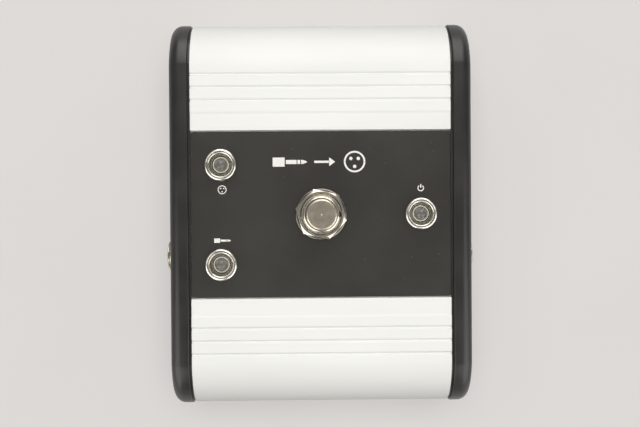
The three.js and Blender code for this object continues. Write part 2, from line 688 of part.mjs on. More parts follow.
/** An XLR pin on the local X axis, with a rounded tip. */
function xlrPin() {
  const { radius, tip, tail } = XLR_PIN;
  const nose = arc(tip - radius, 0, radius, 90, 0, 3).map((p) => [p.y, p.x]);
  return turned("x", [[0, tail], [radius, tail], ...nose.slice(0, -1), [0, tip]], 0, 0, SMALL_ROUND);
}

function xlrReceptacle() {
  const pins = xlrPinPlaces().map(([y, z], i) => {
    const pin = piece(`xlr_pin_${i + 1}`, xlrPin(), "nickel");
    pin.position.set(0, y, z);
    return pin;
  });
  const screws = [-1, 1].map((end, i) => {
    const screw = piece(`xlr_screw_${i + 1}`, countersunkScrew(XLR_SCREW.length), "blackSteel");
    screw.position.set(CAP.outer, end * XLR_SCREW.y, end * XLR_SCREW.z);
    return screw;
  });
  const group = at(0, XLR.y, XLR.z,
    piece("xlr_shell", xlrShell(), "zinc"),
    piece("xlr_insert", xlrInsert(), "blackPlastic"),
    ...pins,
    ...screws);
  group.rotation.z = Math.PI;
  return group;
}

/** The slide switch's case facing +X, with a window for the slider. */
function liftCase() {
  const back = CAP_BACK - LIFT.depth;
  const { halfY, halfZ, wall, slotHalfY, slotHalfZ } = LIFT;
  return cut(
    block([back, CAP_BACK], [-halfY, halfY], [-halfZ, halfZ]),
    block([back + wall, CAP_BACK - wall], [-halfY + wall, halfY - wall], [-halfZ + wall, halfZ - wall]),
    block([CAP_BACK - wall - PAST, CAP_BACK + PAST], [-slotHalfY, slotHalfY], [-slotHalfZ, slotHalfZ]));
}

/** The slider at the lower end of its slot, with a carriage inside the case. */
function liftSlider() {
  const { halfY, length, front, travel } = LIFT_SLIDER;
  const carriage = LIFT_CARRIAGE;
  const centre = -travel / 2;
  const face = CAP_BACK - LIFT.wall - GAP;
  return join(
    block([face - OVERLAP, front], [-halfY, halfY], [centre - length / 2, centre + length / 2]),
    block([face - carriage.thickness, face], [-carriage.halfY, carriage.halfY],
      [centre - carriage.length / 2, centre + carriage.length / 2]));
}

function groundLift() {
  const group = at(0, LIFT.y, LIFT.z,
    piece("ground_lift_switch", liftCase(), "blackPlastic"),
    piece("ground_lift_slider", liftSlider(), "blackPlastic"));
  group.rotation.z = Math.PI;
  return group;
}

function powerInlet() {
  const foot = BOARD.top - POWER.z;
  const body = cut(
    join(
      block([POWER.back, CAP_BACK], [-POWER.halfWidth, POWER.halfWidth], [foot, POWER.height]),
      rod("x", POWER.collar, CAP_BACK - OVERLAP, CAP.outer)),
    rod("x", POWER.bore, POWER.boreEnd, CAP.outer + PAST),
    rod("x", POWER_PIN.radius + GAP, POWER.back - PAST, POWER.boreEnd + PAST, 0, 0, SMALL_ROUND));
  const pin = rod("x", POWER_PIN.radius, POWER_PIN.tail, POWER_PIN.tip, 0, 0, SMALL_ROUND);
  return at(0, POWER.y, POWER.z,
    piece("power_jack", body, "blackPlastic"),
    piece("power_jack_pin", pin, "nickel"));
}

/** A laminated core with two windows, and the winding round its middle leg. */
function transformer() {
  const { x, y, halfX, halfY, height, leg, window, yoke } = TRANSFORMER;
  const [low, high] = [yoke, height - yoke];
  const windows = [-1, 1].map((end) =>
    block([end * leg, end * window], [-halfY - PAST, halfY + PAST], [low, high]));
  const core = cut(block([-halfX, halfX], [-halfY, halfY], [0, height]), ...windows);
  const { clearance } = WINDING;
  const winding = cut(
    block([-WINDING.halfX, WINDING.halfX], [-WINDING.halfY, WINDING.halfY],
      [low + clearance, high - clearance]),
    block([-leg - clearance, leg + clearance], [-halfY - clearance, halfY + clearance], [low, high]));
  return at(x, y, BOARD.top,
    piece("transformer_core", core, "lamination"),
    piece("transformer_winding", winding, "winding"));
}

/** A relay in a case with bevelled top edges. */
function relay() {
  const { x, y, halfX, halfY, height, edge } = RELAY;
  const corners = [[halfY, 0], [halfY, height - edge], [halfY - edge, height]];
  const half = corners.map((p) => new THREE.Vector2(...p));
  const body = prism("x", [...half, ...mirrorY(half)], -halfX, halfX);
  return at(x, y, BOARD.top, piece("output_relay", body, "relay"));
}

/** The flat cable from the footswitch's lugs, bending down on to the board. */
function ribbon() {
  const { halfWidth, thickness, startY, top, bendRadius, endY } = RIBBON;
  const low = BOARD.top + GAP;
  const [cy, cz] = [startY + bendRadius, low + bendRadius];
  const outer = arc(cy, cz, bendRadius, 180, 270, 6);
  const inner = arc(cy, cz, bendRadius - thickness, 270, 180, 6);
  const outline = [
    new THREE.Vector2(startY, top),
    ...outer,
    new THREE.Vector2(endY, low),
    new THREE.Vector2(endY, low + thickness),
    ...inner,
    new THREE.Vector2(startY + thickness, top),
  ];
  return prism("x", outline, -halfWidth, halfWidth);
}

function electronics() {
  const board = block([-BOARD.halfX, BOARD.halfX], [-BOARD.halfY, BOARD.halfY], [BOARD.bottom, BOARD.top]);
  return at(0, 0, 0,
    piece("main_board", board, "board"),
    transformer(),
    relay(),
    piece("switch_ribbon", ribbon(), "ribbon"));
}

export default at(0, 0, 0,
  enclosure(),
  footswitch(),
  lights(),
  jack("output", -1),
  jack("instrument", 1),
  xlrReceptacle(),
  groundLift(),
  powerInlet(),
  electronics());
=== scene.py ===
"""Looks of a direct injection box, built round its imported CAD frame.

Lengths are in millimetres and angles in degrees unless said."""

import math
import random

import bmesh
import bpy
from mathutils import Matrix, Vector


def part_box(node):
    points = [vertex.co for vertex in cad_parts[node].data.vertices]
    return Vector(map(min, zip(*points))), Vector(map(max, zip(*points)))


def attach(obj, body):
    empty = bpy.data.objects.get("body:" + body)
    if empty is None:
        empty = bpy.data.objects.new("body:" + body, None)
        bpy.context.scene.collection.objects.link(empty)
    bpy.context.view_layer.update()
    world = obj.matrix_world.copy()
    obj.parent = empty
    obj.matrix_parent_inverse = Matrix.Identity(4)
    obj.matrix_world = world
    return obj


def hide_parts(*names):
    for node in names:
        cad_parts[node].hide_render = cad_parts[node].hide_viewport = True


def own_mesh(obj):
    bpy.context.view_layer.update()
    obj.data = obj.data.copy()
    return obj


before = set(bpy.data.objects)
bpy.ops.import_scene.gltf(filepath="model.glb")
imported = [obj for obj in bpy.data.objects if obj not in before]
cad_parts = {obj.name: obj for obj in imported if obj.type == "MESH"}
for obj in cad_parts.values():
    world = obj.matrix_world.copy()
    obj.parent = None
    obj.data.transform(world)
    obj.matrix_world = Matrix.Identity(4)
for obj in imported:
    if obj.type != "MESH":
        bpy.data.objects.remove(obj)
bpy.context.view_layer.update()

MM = 0.001
CHASSIS, BUTTON, SLIDER = "chassis", "button", "lift_slider"


def box(node):
    """A CAD node's lowest and highest corners, in millimetres."""
    low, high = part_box(node)
    return Vector(low) / MM, Vector(high) / MM


def centre(node):
    low, high = box(node)
    return (low + high) / 2


# Levels and widths taken from the frame
SHELL_LOW, SHELL_HIGH = box("top_shell")
PLATE_LOW, PLATE_HIGH = box("faceplate")
CAP_LOW, CAP_HIGH = box("right_end_cap")
BASE_LOW, BASE_HIGH = box("bottom_plate")
FACE = PLATE_HIGH.z
HALF_X, HALF_Y = SHELL_HIGH.x, SHELL_HIGH.y
SHELL_BASE, SHELL_TOP = SHELL_LOW.z, SHELL_HIGH.z
CAP_FACE = CAP_HIGH.x

# The shell's section
WALL = 2.2
SHOULDER_RADIUS, SHOULDER_START = 16.2, 82
SHOULDER_Y = HALF_Y - SHOULDER_RADIUS
SHOULDER_Z = SHELL_TOP - SHOULDER_RADIUS * math.sin(math.radians(SHOULDER_START))
RECESS_Y = 25.8
RECESS_CEILING = 45.8
LAND = 48.7
RIB_START, RIB_PITCH, RIB_COUNT, GROOVE_DEPTH, GROOVE_HALF = 31.0, 4.0, 3, 0.5, 0.7
LEDGE_INNER, LEDGE_HEIGHT = 50.0, 3.3
BOSS_RADIUS, BOSS_REACH, SCREW_BORE = 3.2, 9.2, 1.5
DIAGONAL = math.sqrt(0.5)
UPPER_BOSS = (SHOULDER_Y + BOSS_REACH * DIAGONAL, SHOULDER_Z + BOSS_REACH * DIAGONAL)
LOWER_BOSS = (53.0, 10.5)
BOSS_ROOT = HALF_Y - 1
WEB_HALF = 1.5
CARD_LIP_Y, CARD_LIP = (46.8, 52.5), 1.2
BASE_BORE_TOP = 8.6
PLATE_CORNER, LIGHT_HOLE = 0.6, 4.1

# End caps
CAP_INNER = 40.7
CAP_RADIUS = SHOULDER_RADIUS + CAP_HIGH.y - HALF_Y
CAP_FILLET = 3.4
CAP_RIM = 3.0
CAP_BACK = CAP_FACE - 2.5
REVEAL_INSET, CAP_LIP = 1.0, 0.35
TAB_Z, TAB_DEPTH, TAB_GAP = (18.0, 32.0), 2, 0.45
LIFT_SLOT_Z, LIFT_SLOT_HALF = (20.0, 26.0), 1.3

# Bought-in parts
FIT = 0.3
NUT_EASE = 0.05
BUSHING_RADIUS, BUSHING_BORE = 6.0, 4.88
KEY_FLOOR, KEY_HALF = 5.15, 0.78
SWITCH_FLATS, NUT_TURN, REAR_NUT_TURN = 14, 47, 15
CASE_TOP = 42.0
BUTTON_RADIUS, BUTTON_STEM, BUTTON_COLLAR = 4.76, 1.5, (39.3, 40.7)
SPRING_WIRE, SPRING_RADIUS, SPRING_TURNS = 0.36, 5.0, 3.6
BEZEL_THREAD, BEZEL_FLATS = 3.8, 10
LAMP_BASE, LAMP_RIM, LENS_FLOOR, LENS_RADIUS = 41.4, 47.8, 46.4, 2.1
PIN_PITCH, LEG_HALF = 2.54, 0.25
SCREW_HEAD, SCREW_SHAFT, HEAD_DEPTH = 2.8, 1.2, 1.6
JACK_THREAD, JACK_BORE, JACK_FLATS = 4.7, 3.3, 12
XLR_BARREL, XLR_BORE, XLR_CORNER, XLR_SCREWS = 10.5, 8.15, 2.0, (9.5, 12)
XLR_PIN, XLR_PIN_TIP, XLR_KEY_HALF = 1.2, 0.9, 2.2
POWER_COLLAR, POWER_BORE, POWER_FLOOR = 4.7, 3.15, 36
GRIP_BACK = -42.6
CAPACITORS = [(-28, -32), (-16, -34), (30, -34)]
CHIPS = [(2, -30), (16, -30)]
RESISTORS, RESISTOR_START, RESISTOR_PITCH = 6, (-30, 43.5), 9
INK = 0.04

# Studio. Places and sizes of lights and camera are in metres
FLOOR_GLOW, FLOOR_HALF = 0.36, 2000
SKY_LOW, SKY_HIGH = 0.27, 0.34
SKY_COLOUR, LAMP_COLOUR = (1, 0.99, 0.965), (1.0, 0.985, 0.955)
# Patches of sky: direction, angles where they are full and where they end, and level
SKY_PATCHES = [
    ((0, 0.8, 0.6), 15, 50, 0.65),
    ((0, -0.06, 1), 9, 24, 0.33),
]
# Softboxes: place, size and power
OVERHEAD = ((0.0, 0.13, 1.0), 0.5, 8.0)
CARDS = [
    ((-0.62, -0.6, 0.55), 1.05, 7.8),
    ((0.66, -0.55, 0.55), 1.05, 7.8),
    ((0.1, 0.87, 0.6), 1.05, 8.5),
]
SOFTBOX_AIM = (0, 0, 0.03)
CAMERA_AIM, CAMERA_REACH = (-0.00035, 0.0002, 0.0486), (-0.00445, 0.0039, 0.300)
CAMERA_LENS, CAMERA_ROLL = 55, 0.42


# ---- meshes ----


def mesh_object(verts, faces, name="part"):
    mesh = bpy.data.meshes.new(name)
    mesh.from_pydata([tuple(c * MM for c in v) for v in verts], [], faces)
    bm = bmesh.new()
    bm.from_mesh(mesh)
    bmesh.ops.remove_doubles(bm, verts=bm.verts, dist=1e-8)
    bmesh.ops.recalc_face_normals(bm, faces=bm.faces)
    bm.to_mesh(mesh)
    bm.free()
    obj = bpy.data.objects.new(name, mesh)
    bpy.context.collection.objects.link(obj)
    return obj


def ring_faces(rings, closed):
    """Faces between rings of vertex numbers. A ring of one number is a pole."""
    faces = []
    pairs = list(zip(rings, rings[1:]))
    if closed:
        pairs.append((rings[-1], rings[0]))
    for a, b in pairs:
        count = max(len(a), len(b))
        for i in range(count):
            j = (i + 1) % count
            corners = [a[i % len(a)], a[j % len(a)], b[j % len(b)], b[i % len(b)]]
            faces.append(list(dict.fromkeys(corners)))
    return faces


def turned(profile, place=(0, 0, 0), axis="z", sides=96, relief=None):
    """A turned body from [(radius, height)]. It ends on the axis at both ends, or closes on itself.

    relief(radius, height, angle) says how much is taken off the radius there."""
    verts, rings = [], []
    for radius, height in profile:
        if radius < 1e-6:
            rings.append([len(verts)])
            verts.append((0, 0, height))
            continue
        rings.append(list(range(len(verts), len(verts) + sides)))
        for i in range(sides):
            angle = 2 * math.pi * i / sides
            r = radius - (relief(radius, height, angle) if relief else 0)
            verts.append((r * math.cos(angle), r * math.sin(angle), height))
    on_axis = profile[0][0] < 1e-6
    obj = mesh_object(verts, ring_faces(rings, not on_axis))
    turn = {"z": Matrix.Identity(4), "x": Matrix.Rotation(math.pi / 2, 4, "Y")}[axis]
    shift = Matrix.Translation(Vector(place) * MM)
    obj.data.transform(shift @ turn)
    return obj


def prism(outline, low, high, axis="x"):
    """A straight body on a closed outline. Across X the outline is in Y and Z, across Z in X and Y."""
    count = len(outline)
    if axis == "x":
        verts = [(x, u, v) for x in (low, high) for u, v in outline]
    elif axis == "y":
        verts = [(u, y, v) for y in (low, high) for u, v in outline]
    else:
        verts = [(u, v, z) for z in (low, high) for u, v in outline]
    sides = [(i, (i + 1) % count, count + (i + 1) % count, count + i) for i in range(count)]
    ends = [tuple(range(count)), tuple(reversed(range(count, 2 * count)))]
    return mesh_object(verts, sides + ends)


def block(low, high):
    outline = [(low[0], low[1]), (high[0], low[1]), (high[0], high[1]), (low[0], high[1])]
    return prism(outline, low[2], high[2], "z")


def arc(cx, cy, radius, start, end, steps, rise=None):
    """Points on a circle between two angles, or on an ellipse that rises otherwise than it reaches."""
    rise = radius if rise is None else rise
    angles = (math.radians(start + (end - start) * i / steps) for i in range(steps + 1))
    return [(cx + radius * math.cos(a), cy + rise * math.sin(a)) for a in angles]


def circle(cx, cy, radius, sides=64):
    return arc(cx, cy, radius, 0, 360 - 360 / sides, sides - 1)


def rounded_rectangle(half_u, half_v, radius, steps):
    u, v = half_u - radius, half_v - radius
    corners = [(u, v, 0), (-u, v, 90), (-u, -v, 180), (u, -v, 270)]
    return [p for cu, cv, start in corners for p in arc(cu, cv, radius, start, start + 90, steps)]


def rod(axis, radius, low, high, u=0, v=0, sides=64):
    return prism(circle(u, v, radius, sides), low, high, axis)


def drills(nodes, radius, low, high, sides=64):
    """Upright rods through the middles of CAD nodes."""
    return [rod("z", radius, low, high, centre(n).x, centre(n).y, sides) for n in nodes]


def on_side(side, near, far):
    """A span given as distances from the middle, in rising order on one side of it."""
    return sorted((side * near, side * far))


def reach(node):
    """The nearest and farthest distance of a side part from the middle, along X."""
    low, high = box(node)
    return sorted((abs(low.x), abs(high.x)))


def apply_modifiers(obj):
    graph = bpy.context.evaluated_depsgraph_get()
    mesh = bpy.data.meshes.new_from_object(obj.evaluated_get(graph))
    obj.modifiers.clear()
    old = obj.data
    obj.data = mesh
    bpy.data.meshes.remove(old)


def boolean(obj, operation, *others):
    for other in others:
        modifier = obj.modifiers.new("boolean", "BOOLEAN")
        modifier.operation = operation
        modifier.solver = "MANIFOLD"
        modifier.object = other
    bpy.context.view_layer.update()
    apply_modifiers(obj)
    for other in others:
        bpy.data.objects.remove(other)
    return obj


def cut(obj, *tools):
    return boolean(obj, "DIFFERENCE", *tools)


def join(obj, *others):
    return boolean(obj, "UNION", *others)


def soften(obj, width, segments=3, limit=50):
    """Rounds the edges that turn more than limit degrees."""
    modifier = obj.modifiers.new("soften", "BEVEL")
    modifier.width = width * MM
    modifier.segments = segments
    modifier.limit_method = "ANGLE"
    modifier.angle_limit = math.radians(limit)
    modifier.harden_normals = False
    bpy.context.view_layer.update()
    apply_modifiers(obj)
    return obj


def shade(obj, angle=32):
    for polygon in obj.data.polygons:
        polygon.use_smooth = True
    obj.data.set_sharp_from_angle(angle=math.radians(angle))
    return obj


def thread(radius, low, high, pitch=0.8, depth=0.35):
    """The profile points and relief of a screw thread between two heights."""
    steps = max(4, round((high - low) / pitch * 8))
    points = [(radius, low + (high - low) * i / steps) for i in range(steps + 1)]

    def relief(r, height, angle):
        if abs(r - radius) > 1e-6 or not low <= height <= high:
            return 0
        ramp = min(1, (height - low) / pitch, (high - height) / pitch)
        phase = (height / pitch - angle / (2 * math.pi)) % 1
        return depth * max(0, ramp) * abs(2 * phase - 1)

    return points, relief


def finish(obj, name, look, *nodes, slot=None, body=CHASSIS, angle=32):
    """Names a finished mesh, gives it its look and puts it in its body in place of CAD nodes.

    The slot argument is not used."""
    obj.name = name
    obj.data.name = name
    obj.data.materials.clear()
    obj.data.materials.append(LOOKS[look])
    shade(obj, angle)
    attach(obj, body)
    if nodes:
        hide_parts(*nodes)
    return obj


# ---- materials ----


class Look:
    """A material with short calls for the node patterns that the surfaces share."""

    def __init__(self, name, colour, roughness, metallic=0.0, **sockets):
        self.material = bpy.data.materials.new(name)
        self.material.use_nodes = True
        self.nodes = self.material.node_tree.nodes
        self.links = self.material.node_tree.links
        self.shader = self.nodes["Principled BSDF"]
        self.set("Base Color", (*colour, 1))
        self.set("Roughness", roughness)
        self.set("Metallic", metallic)
        for socket, value in sockets.items():
            self.set(socket.replace("_", " "), value)

    def set(self, socket, value):
        self.shader.inputs[socket].default_value = value

    def noise(self, scale, stretch=(1, 1, 1), detail=4, shift=0.0):
        """Noise over the object's own space. scale is in features to a metre."""
        place = self.nodes.new("ShaderNodeTexCoord")
        mapping = self.nodes.new("ShaderNodeMapping")
        mapping.inputs["Scale"].default_value = stretch
        mapping.inputs["Location"].default_value = (shift, shift, shift)
        noise = self.nodes.new("ShaderNodeTexNoise")
        noise.inputs["Scale"].default_value = scale
        noise.inputs["Detail"].default_value = detail
        self.links.new(place.outputs["Object"], mapping.inputs["Vector"])
        self.links.new(mapping.outputs["Vector"], noise.inputs["Vector"])
        return noise.outputs["Fac"]

    def ramp(self, value, low, high, out_low=0.0, out_high=1.0):
        node = self.nodes.new("ShaderNodeMapRange")
        limits = {"From Min": low, "From Max": high, "To Min": out_low, "To Max": out_high}
        for socket, limit in limits.items():
            node.inputs[socket].default_value = limit
        self.links.new(value, node.inputs["Value"])
        return node.outputs["Result"]

    def mix(self, value, first, second):
        node = self.nodes.new("ShaderNodeMix")
        node.data_type = "RGBA"
        for socket, colour in ((node.inputs[6], first), (node.inputs[7], second)):
            if isinstance(colour, bpy.types.NodeSocket):
                self.links.new(colour, socket)
            else:
                socket.default_value = (*colour, 1)
        self.links.new(value, node.inputs[0])
        return node.outputs[2]

    def colour(self, value, first, second):
        self.links.new(self.mix(value, first, second), self.shader.inputs["Base Color"])

    def roughness(self, value):
        self.links.new(value, self.shader.inputs["Roughness"])

    def bump(self, value, distance, strength=1.0):
        """Relief of a height in millimetres."""
        node = self.nodes.new("ShaderNodeBump")
        node.inputs["Strength"].default_value = strength
        node.inputs["Distance"].default_value = distance * MM
        self.links.new(value, node.inputs["Height"])
        self.links.new(node.outputs["Normal"], self.shader.inputs["Normal"])


def anodised_look():
    """Satin bright anodising with the fine lengthwise lines of an extrusion, and a little dust."""
    look = Look("anodised_aluminium", (0.79, 0.795, 0.78), 0.5, Specular_IOR_Level=0.2)
    lines = look.noise(900, (0.02, 1, 1), 6)
    cloud = look.noise(60, (0.4, 1, 1), 3)
    look.colour(look.ramp(cloud, 0.3, 0.7), (0.75, 0.755, 0.74), (0.78, 0.785, 0.77))
    look.roughness(look.ramp(lines, 0.3, 0.7, 0.42, 0.54))
    look.bump(lines, 0.003, 0.3)
    return look.material


def moulded_black_look(name, base, grain, rough_low, rough_high):
    """Black moulded plastic with a fine spark-eroded grain."""
    look = Look(name, (base, base * 0.97, base * 0.93), 0.5)
    texture = look.noise(grain, detail=2)
    handling = look.noise(90, detail=5, shift=3)
    paler = (base * 1.5, base * 1.45, base * 1.38)
    look.colour(look.ramp(handling, 0.35, 0.75), (base, base * 0.97, base * 0.93), paler)
    look.roughness(look.ramp(handling, 0.3, 0.7, rough_low, rough_high))
    look.bump(texture, 0.012, 0.25)
    return look.material


def panel_look():
    """Matte black paint with faint wiping marks and specks of dust."""
    look = Look("panel_black", (0.03, 0.028, 0.026), 0.6, Specular_IOR_Level=0.3)
    cloud = look.noise(35, detail=4)
    specks = look.noise(2600, detail=1, shift=7)
    shade_of = look.mix(look.ramp(cloud, 0.3, 0.75), (0.018, 0.0165, 0.014), (0.033, 0.031, 0.0275))
    look.colour(look.ramp(specks, 0.79, 0.83), shade_of, (0.2, 0.2, 0.19))
    look.roughness(look.ramp(cloud, 0.3, 0.7, 0.5, 0.62))
    look.bump(look.noise(2200, detail=2, shift=1), 0.01, 0.3)
    return look.material


def metal_look(name, colour, rough, spread, scratch=0.25, scale=700, stretch=(1, 1, 1)):
    """Plated or bare metal with fine scuffs that vary its gloss."""
    look = Look(name, colour, rough, 1.0)
    scuffs = look.noise(scale, stretch, 6)
    dull = look.noise(250, detail=4, shift=5)
    look.roughness(look.ramp(scuffs, 0.3, 0.7, max(0.03, rough - spread), rough + spread))
    look.colour(look.ramp(dull, 0.35, 0.7), colour, tuple(c * 0.82 for c in colour))
    look.bump(scuffs, 0.006, scratch)
    return look.material


def turned_face_look():
    """Nickel with the rings that a lathe leaves round the switch's axis."""
    look = Look("turned_nickel", (0.58, 0.52, 0.42), 0.34, 1.0)
    place = look.nodes.new("ShaderNodeTexCoord")
    wave = look.nodes.new("ShaderNodeTexWave")
    wave.wave_type = "RINGS"
    wave.rings_direction = "Z"
    wave.inputs["Scale"].default_value = 900
    wave.inputs["Distortion"].default_value = 1.5
    look.links.new(place.outputs["Object"], wave.inputs["Vector"])
    scuffs = look.noise(500, detail=6)
    look.colour(look.ramp(scuffs, 0.35, 0.75), (0.58, 0.52, 0.42), (0.45, 0.41, 0.33))
    look.roughness(look.ramp(scuffs, 0.3, 0.7, 0.24, 0.42))
    look.bump(wave.outputs["Fac"], 0.004, 0.3)
    return look.material


def plain_look(name, first, second, low, high, scale=400, relief=0.01):
    """A surface whose colour and gloss both drift between two values."""
    look = Look(name, first, low)
    drift = look.noise(scale, detail=4)
    look.colour(look.ramp(drift, 0.3, 0.7), first, second)
    look.roughness(look.ramp(drift, 0.3, 0.7, low, high))
    look.bump(look.noise(scale * 5, detail=2, shift=2), relief, 0.3)
    return look.material


def lens_look():
    look = Look("clear_lens", (0.9, 0.88, 0.82), 0.08, IOR=1.5, Transmission_Weight=0.9)
    look.bump(look.noise(300, detail=2), 0.001, 0.1)
    return look.material


# The materials, under the name of their slot or, where a slot has several, under their own
LOOKS = {
    "anodised_shell": anodised_look(),
    "black_cap": moulded_black_look("cap_black", 0.01, 5200, 0.3, 0.42),
    "connector_plastic": moulded_black_look("connector_black", 0.012, 6000, 0.3, 0.45),
    "black_panel": panel_look(),
    "print_white": plain_look("print_white", (0.78, 0.77, 0.74), (0.7, 0.69, 0.66), 0.5, 0.65, 900, 0.004),
    "nickel": metal_look("nickel", (0.66, 0.61, 0.52), 0.17, 0.09, 0.3),
    # A darkened copy of nickel for the washer: painted shade for the shadow round the nut
    "shaded_nickel": metal_look("shaded_nickel", (0.2, 0.19, 0.17), 0.22, 0.1, 0.3),
    "turned_nickel": turned_face_look(),
    "chrome": metal_look("chrome", (0.8, 0.78, 0.72), 0.15, 0.05, 0.1),
    "die_cast_zinc": metal_look("satin_nickel", (0.5, 0.49, 0.47), 0.36, 0.08, 0.2),
    "contact_nickel": metal_look("contact_nickel", (0.72, 0.7, 0.64), 0.2, 0.06, 0.1),
    "brass": metal_look("brass", (0.72, 0.55, 0.27), 0.28, 0.08),
    "black_steel": metal_look("black_steel", (0.035, 0.035, 0.035), 0.45, 0.1, 0.3),
    "painted_steel": plain_look(
        "painted_steel", (0.02, 0.02, 0.02), (0.032, 0.031, 0.03), 0.45, 0.6, 500, 0.03),
    "foot_rubber": plain_look("rubber", (0.014, 0.014, 0.014), (0.024, 0.023, 0.022), 0.7, 0.9, 700, 0.03),
    "clear_lens": lens_look(),
    "lamp_cup": plain_look("lamp_cup", (0.5, 0.48, 0.43), (0.56, 0.54, 0.48), 0.35, 0.5),
    "board": plain_look("solder_mask", (0.012, 0.09, 0.035), (0.02, 0.12, 0.05), 0.3, 0.45),
    "phenolic": plain_look("phenolic", (0.2, 0.09, 0.035), (0.27, 0.13, 0.05), 0.5, 0.7),
    "core": metal_look("laminations", (0.3, 0.3, 0.3), 0.45, 0.1, 0.4, 1500, (0.05, 1, 0.05)),
    "winding": plain_look("winding_tape", (0.5, 0.3, 0.06), (0.58, 0.36, 0.09), 0.3, 0.4),
    "relay": plain_look("relay_case", (0.7, 0.66, 0.57), (0.75, 0.71, 0.63), 0.3, 0.45),
    "ribbon": plain_look("ribbon_cable", (0.36, 0.36, 0.35), (0.42, 0.42, 0.4), 0.5, 0.65),
    "capacitor_sleeve": plain_look("capacitor_sleeve", (0.02, 0.03, 0.07), (0.03, 0.04, 0.09), 0.25, 0.4),
}


# ---- enclosure ----


def mirrored(points):
    return [(-u, v) for u, v in reversed(points)]


def rib_height(y):
    """The level of the shell's top between the recess and the shoulder: a lower land, then the ribs."""
    if y < RIB_START + GROOVE_HALF:
        rise = min(1, max(0, (y - RIB_START + 0.2) / (GROOVE_HALF + 0.2)))
        return LAND + (SHELL_TOP - LAND) * rise * rise * (3 - 2 * rise)
    grooves = (RIB_START + RIB_PITCH * i for i in range(1, RIB_COUNT + 1))
    off = min(abs(y - groove) for groove in grooves) / GROOVE_HALF
    return SHELL_TOP - (GROOVE_DEPTH * (1 + math.cos(math.pi * off)) / 2 if off < 1 else 0)


def shell_outline():
    """The section of the extrusion: over the recess, ribs and shoulders, and back along the inside."""
    first, last = RIB_START - 0.3, RIB_START + RIB_COUNT * RIB_PITCH + GROOVE_HALF
    count = round((last - first) / 0.1)
    ys = [first + (last - first) * i / count for i in range(count + 1)]
    notch, notch_floor = RECESS_Y - 0.5, PLATE_LOW.z - 1
    outer = [(notch, PLATE_LOW.z), (notch, notch_floor), (RECESS_Y, notch_floor)]
    outer += [(RECESS_Y, LAND), *[(y, rib_height(y)) for y in ys]]
    outer += arc(SHOULDER_Y, SHOULDER_Z, SHOULDER_RADIUS, SHOULDER_START, 0, 40)
    outer += [(HALF_Y, SHELL_BASE)]
    inner = [(HALF_Y - WALL, SHELL_BASE)]
    inner += arc(SHOULDER_Y, SHOULDER_Z, SHOULDER_RADIUS - WALL, 0, SHOULDER_START, 24)
    inner += [(RECESS_Y + 3, SHELL_TOP - WALL), (RECESS_Y + 2, RECESS_CEILING)]
    return mirrored(outer) + outer + inner + mirrored(inner)


def boss_places():
    return [(side * y, z) for side in (-1, 1) for y, z in (UPPER_BOSS, LOWER_BOSS)]


def lengthwise(side, near, far, low, high):
    """A block along the whole extrusion, on one side of the middle."""
    y_low, y_high = on_side(side, near, far)
    return block((-HALF_X, y_low, low), (HALF_X, y_high, high))


def shell_ribs():
    """What the extrusion carries inside: screw channels on webs, plate ledges and card slot lips."""
    board_low, board_high = box("main_board")
    root = SHOULDER_RADIUS - WALL / 2
    corners = [(BOSS_REACH, -WEB_HALF), (root, -WEB_HALF), (root, WEB_HALF), (BOSS_REACH, WEB_HALF)]
    ribs = []
    for side in (-1, 1):
        for y, z in (UPPER_BOSS, LOWER_BOSS):
            ribs.append(rod("x", BOSS_RADIUS, -HALF_X, HALF_X, side * y, z, 40))
        y, z = LOWER_BOSS
        ribs.append(lengthwise(side, y, BOSS_ROOT, z - WEB_HALF, z + WEB_HALF))
        web = [(side * (SHOULDER_Y + (a - b) * DIAGONAL), SHOULDER_Z + (a + b) * DIAGONAL)
               for a, b in corners]
        ribs.append(prism(web, -HALF_X, HALF_X))
        ledge = BASE_HIGH.z
        ribs.append(lengthwise(side, LEDGE_INNER, BOSS_ROOT, ledge, ledge + LEDGE_HEIGHT))
        for z in (board_low.z - FIT - CARD_LIP, board_high.z + FIT):
            ribs.append(lengthwise(side, *CARD_LIP_Y, z, z + CARD_LIP))
    return ribs


def panel_cutters(low, high):
    lights = drills(light_nodes("bezel"), LIGHT_HOLE, low, high)
    return [*lights, rod("z", BUSHING_RADIUS + FIT, low, high)]


def light_nodes(kind):
    return [f"{name}_{kind}" for name in ("xlr_light", "quarter_inch_light", "power_light")]


def bottom_screw_nodes():
    return [f"bottom_screw_{i}" for i in range(1, 5)]


def make_shell():
    shell = prism(shell_outline(), -HALF_X, HALF_X)
    soften(shell, 0.22, 3, 62)
    join(shell, *shell_ribs())
    cutters = [rod("x", SCREW_BORE, -HALF_X - 1, HALF_X + 1, y, z, 32) for y, z in boss_places()]
    cutters += drills(bottom_screw_nodes(), SCREW_BORE, SHELL_BASE, BASE_BORE_TOP, 32)
    cut(shell, *cutters, *panel_cutters(RECESS_CEILING - 1, SHELL_TOP))
    finish(shell, "shell", "anodised_shell", "top_shell", angle=24)


def make_faceplate():
    outline = rounded_rectangle(PLATE_HIGH.x, PLATE_HIGH.y, PLATE_CORNER, 6)
    plate = prism(outline, PLATE_LOW.z, FACE, "z")
    soften(plate, 0.12, 2)
    cut(plate, *panel_cutters(PLATE_LOW.z - 1, FACE + 1))
    finish(plate, "panel", "black_panel", "faceplate")


def cap_outline(inset):
    radius = CAP_RADIUS - inset
    half = arc(SHOULDER_Y, SHOULDER_Z, radius, SHOULDER_START, 0, 36)
    half.append((SHOULDER_Y + radius, SHELL_BASE + inset))
    return mirrored(half) + half


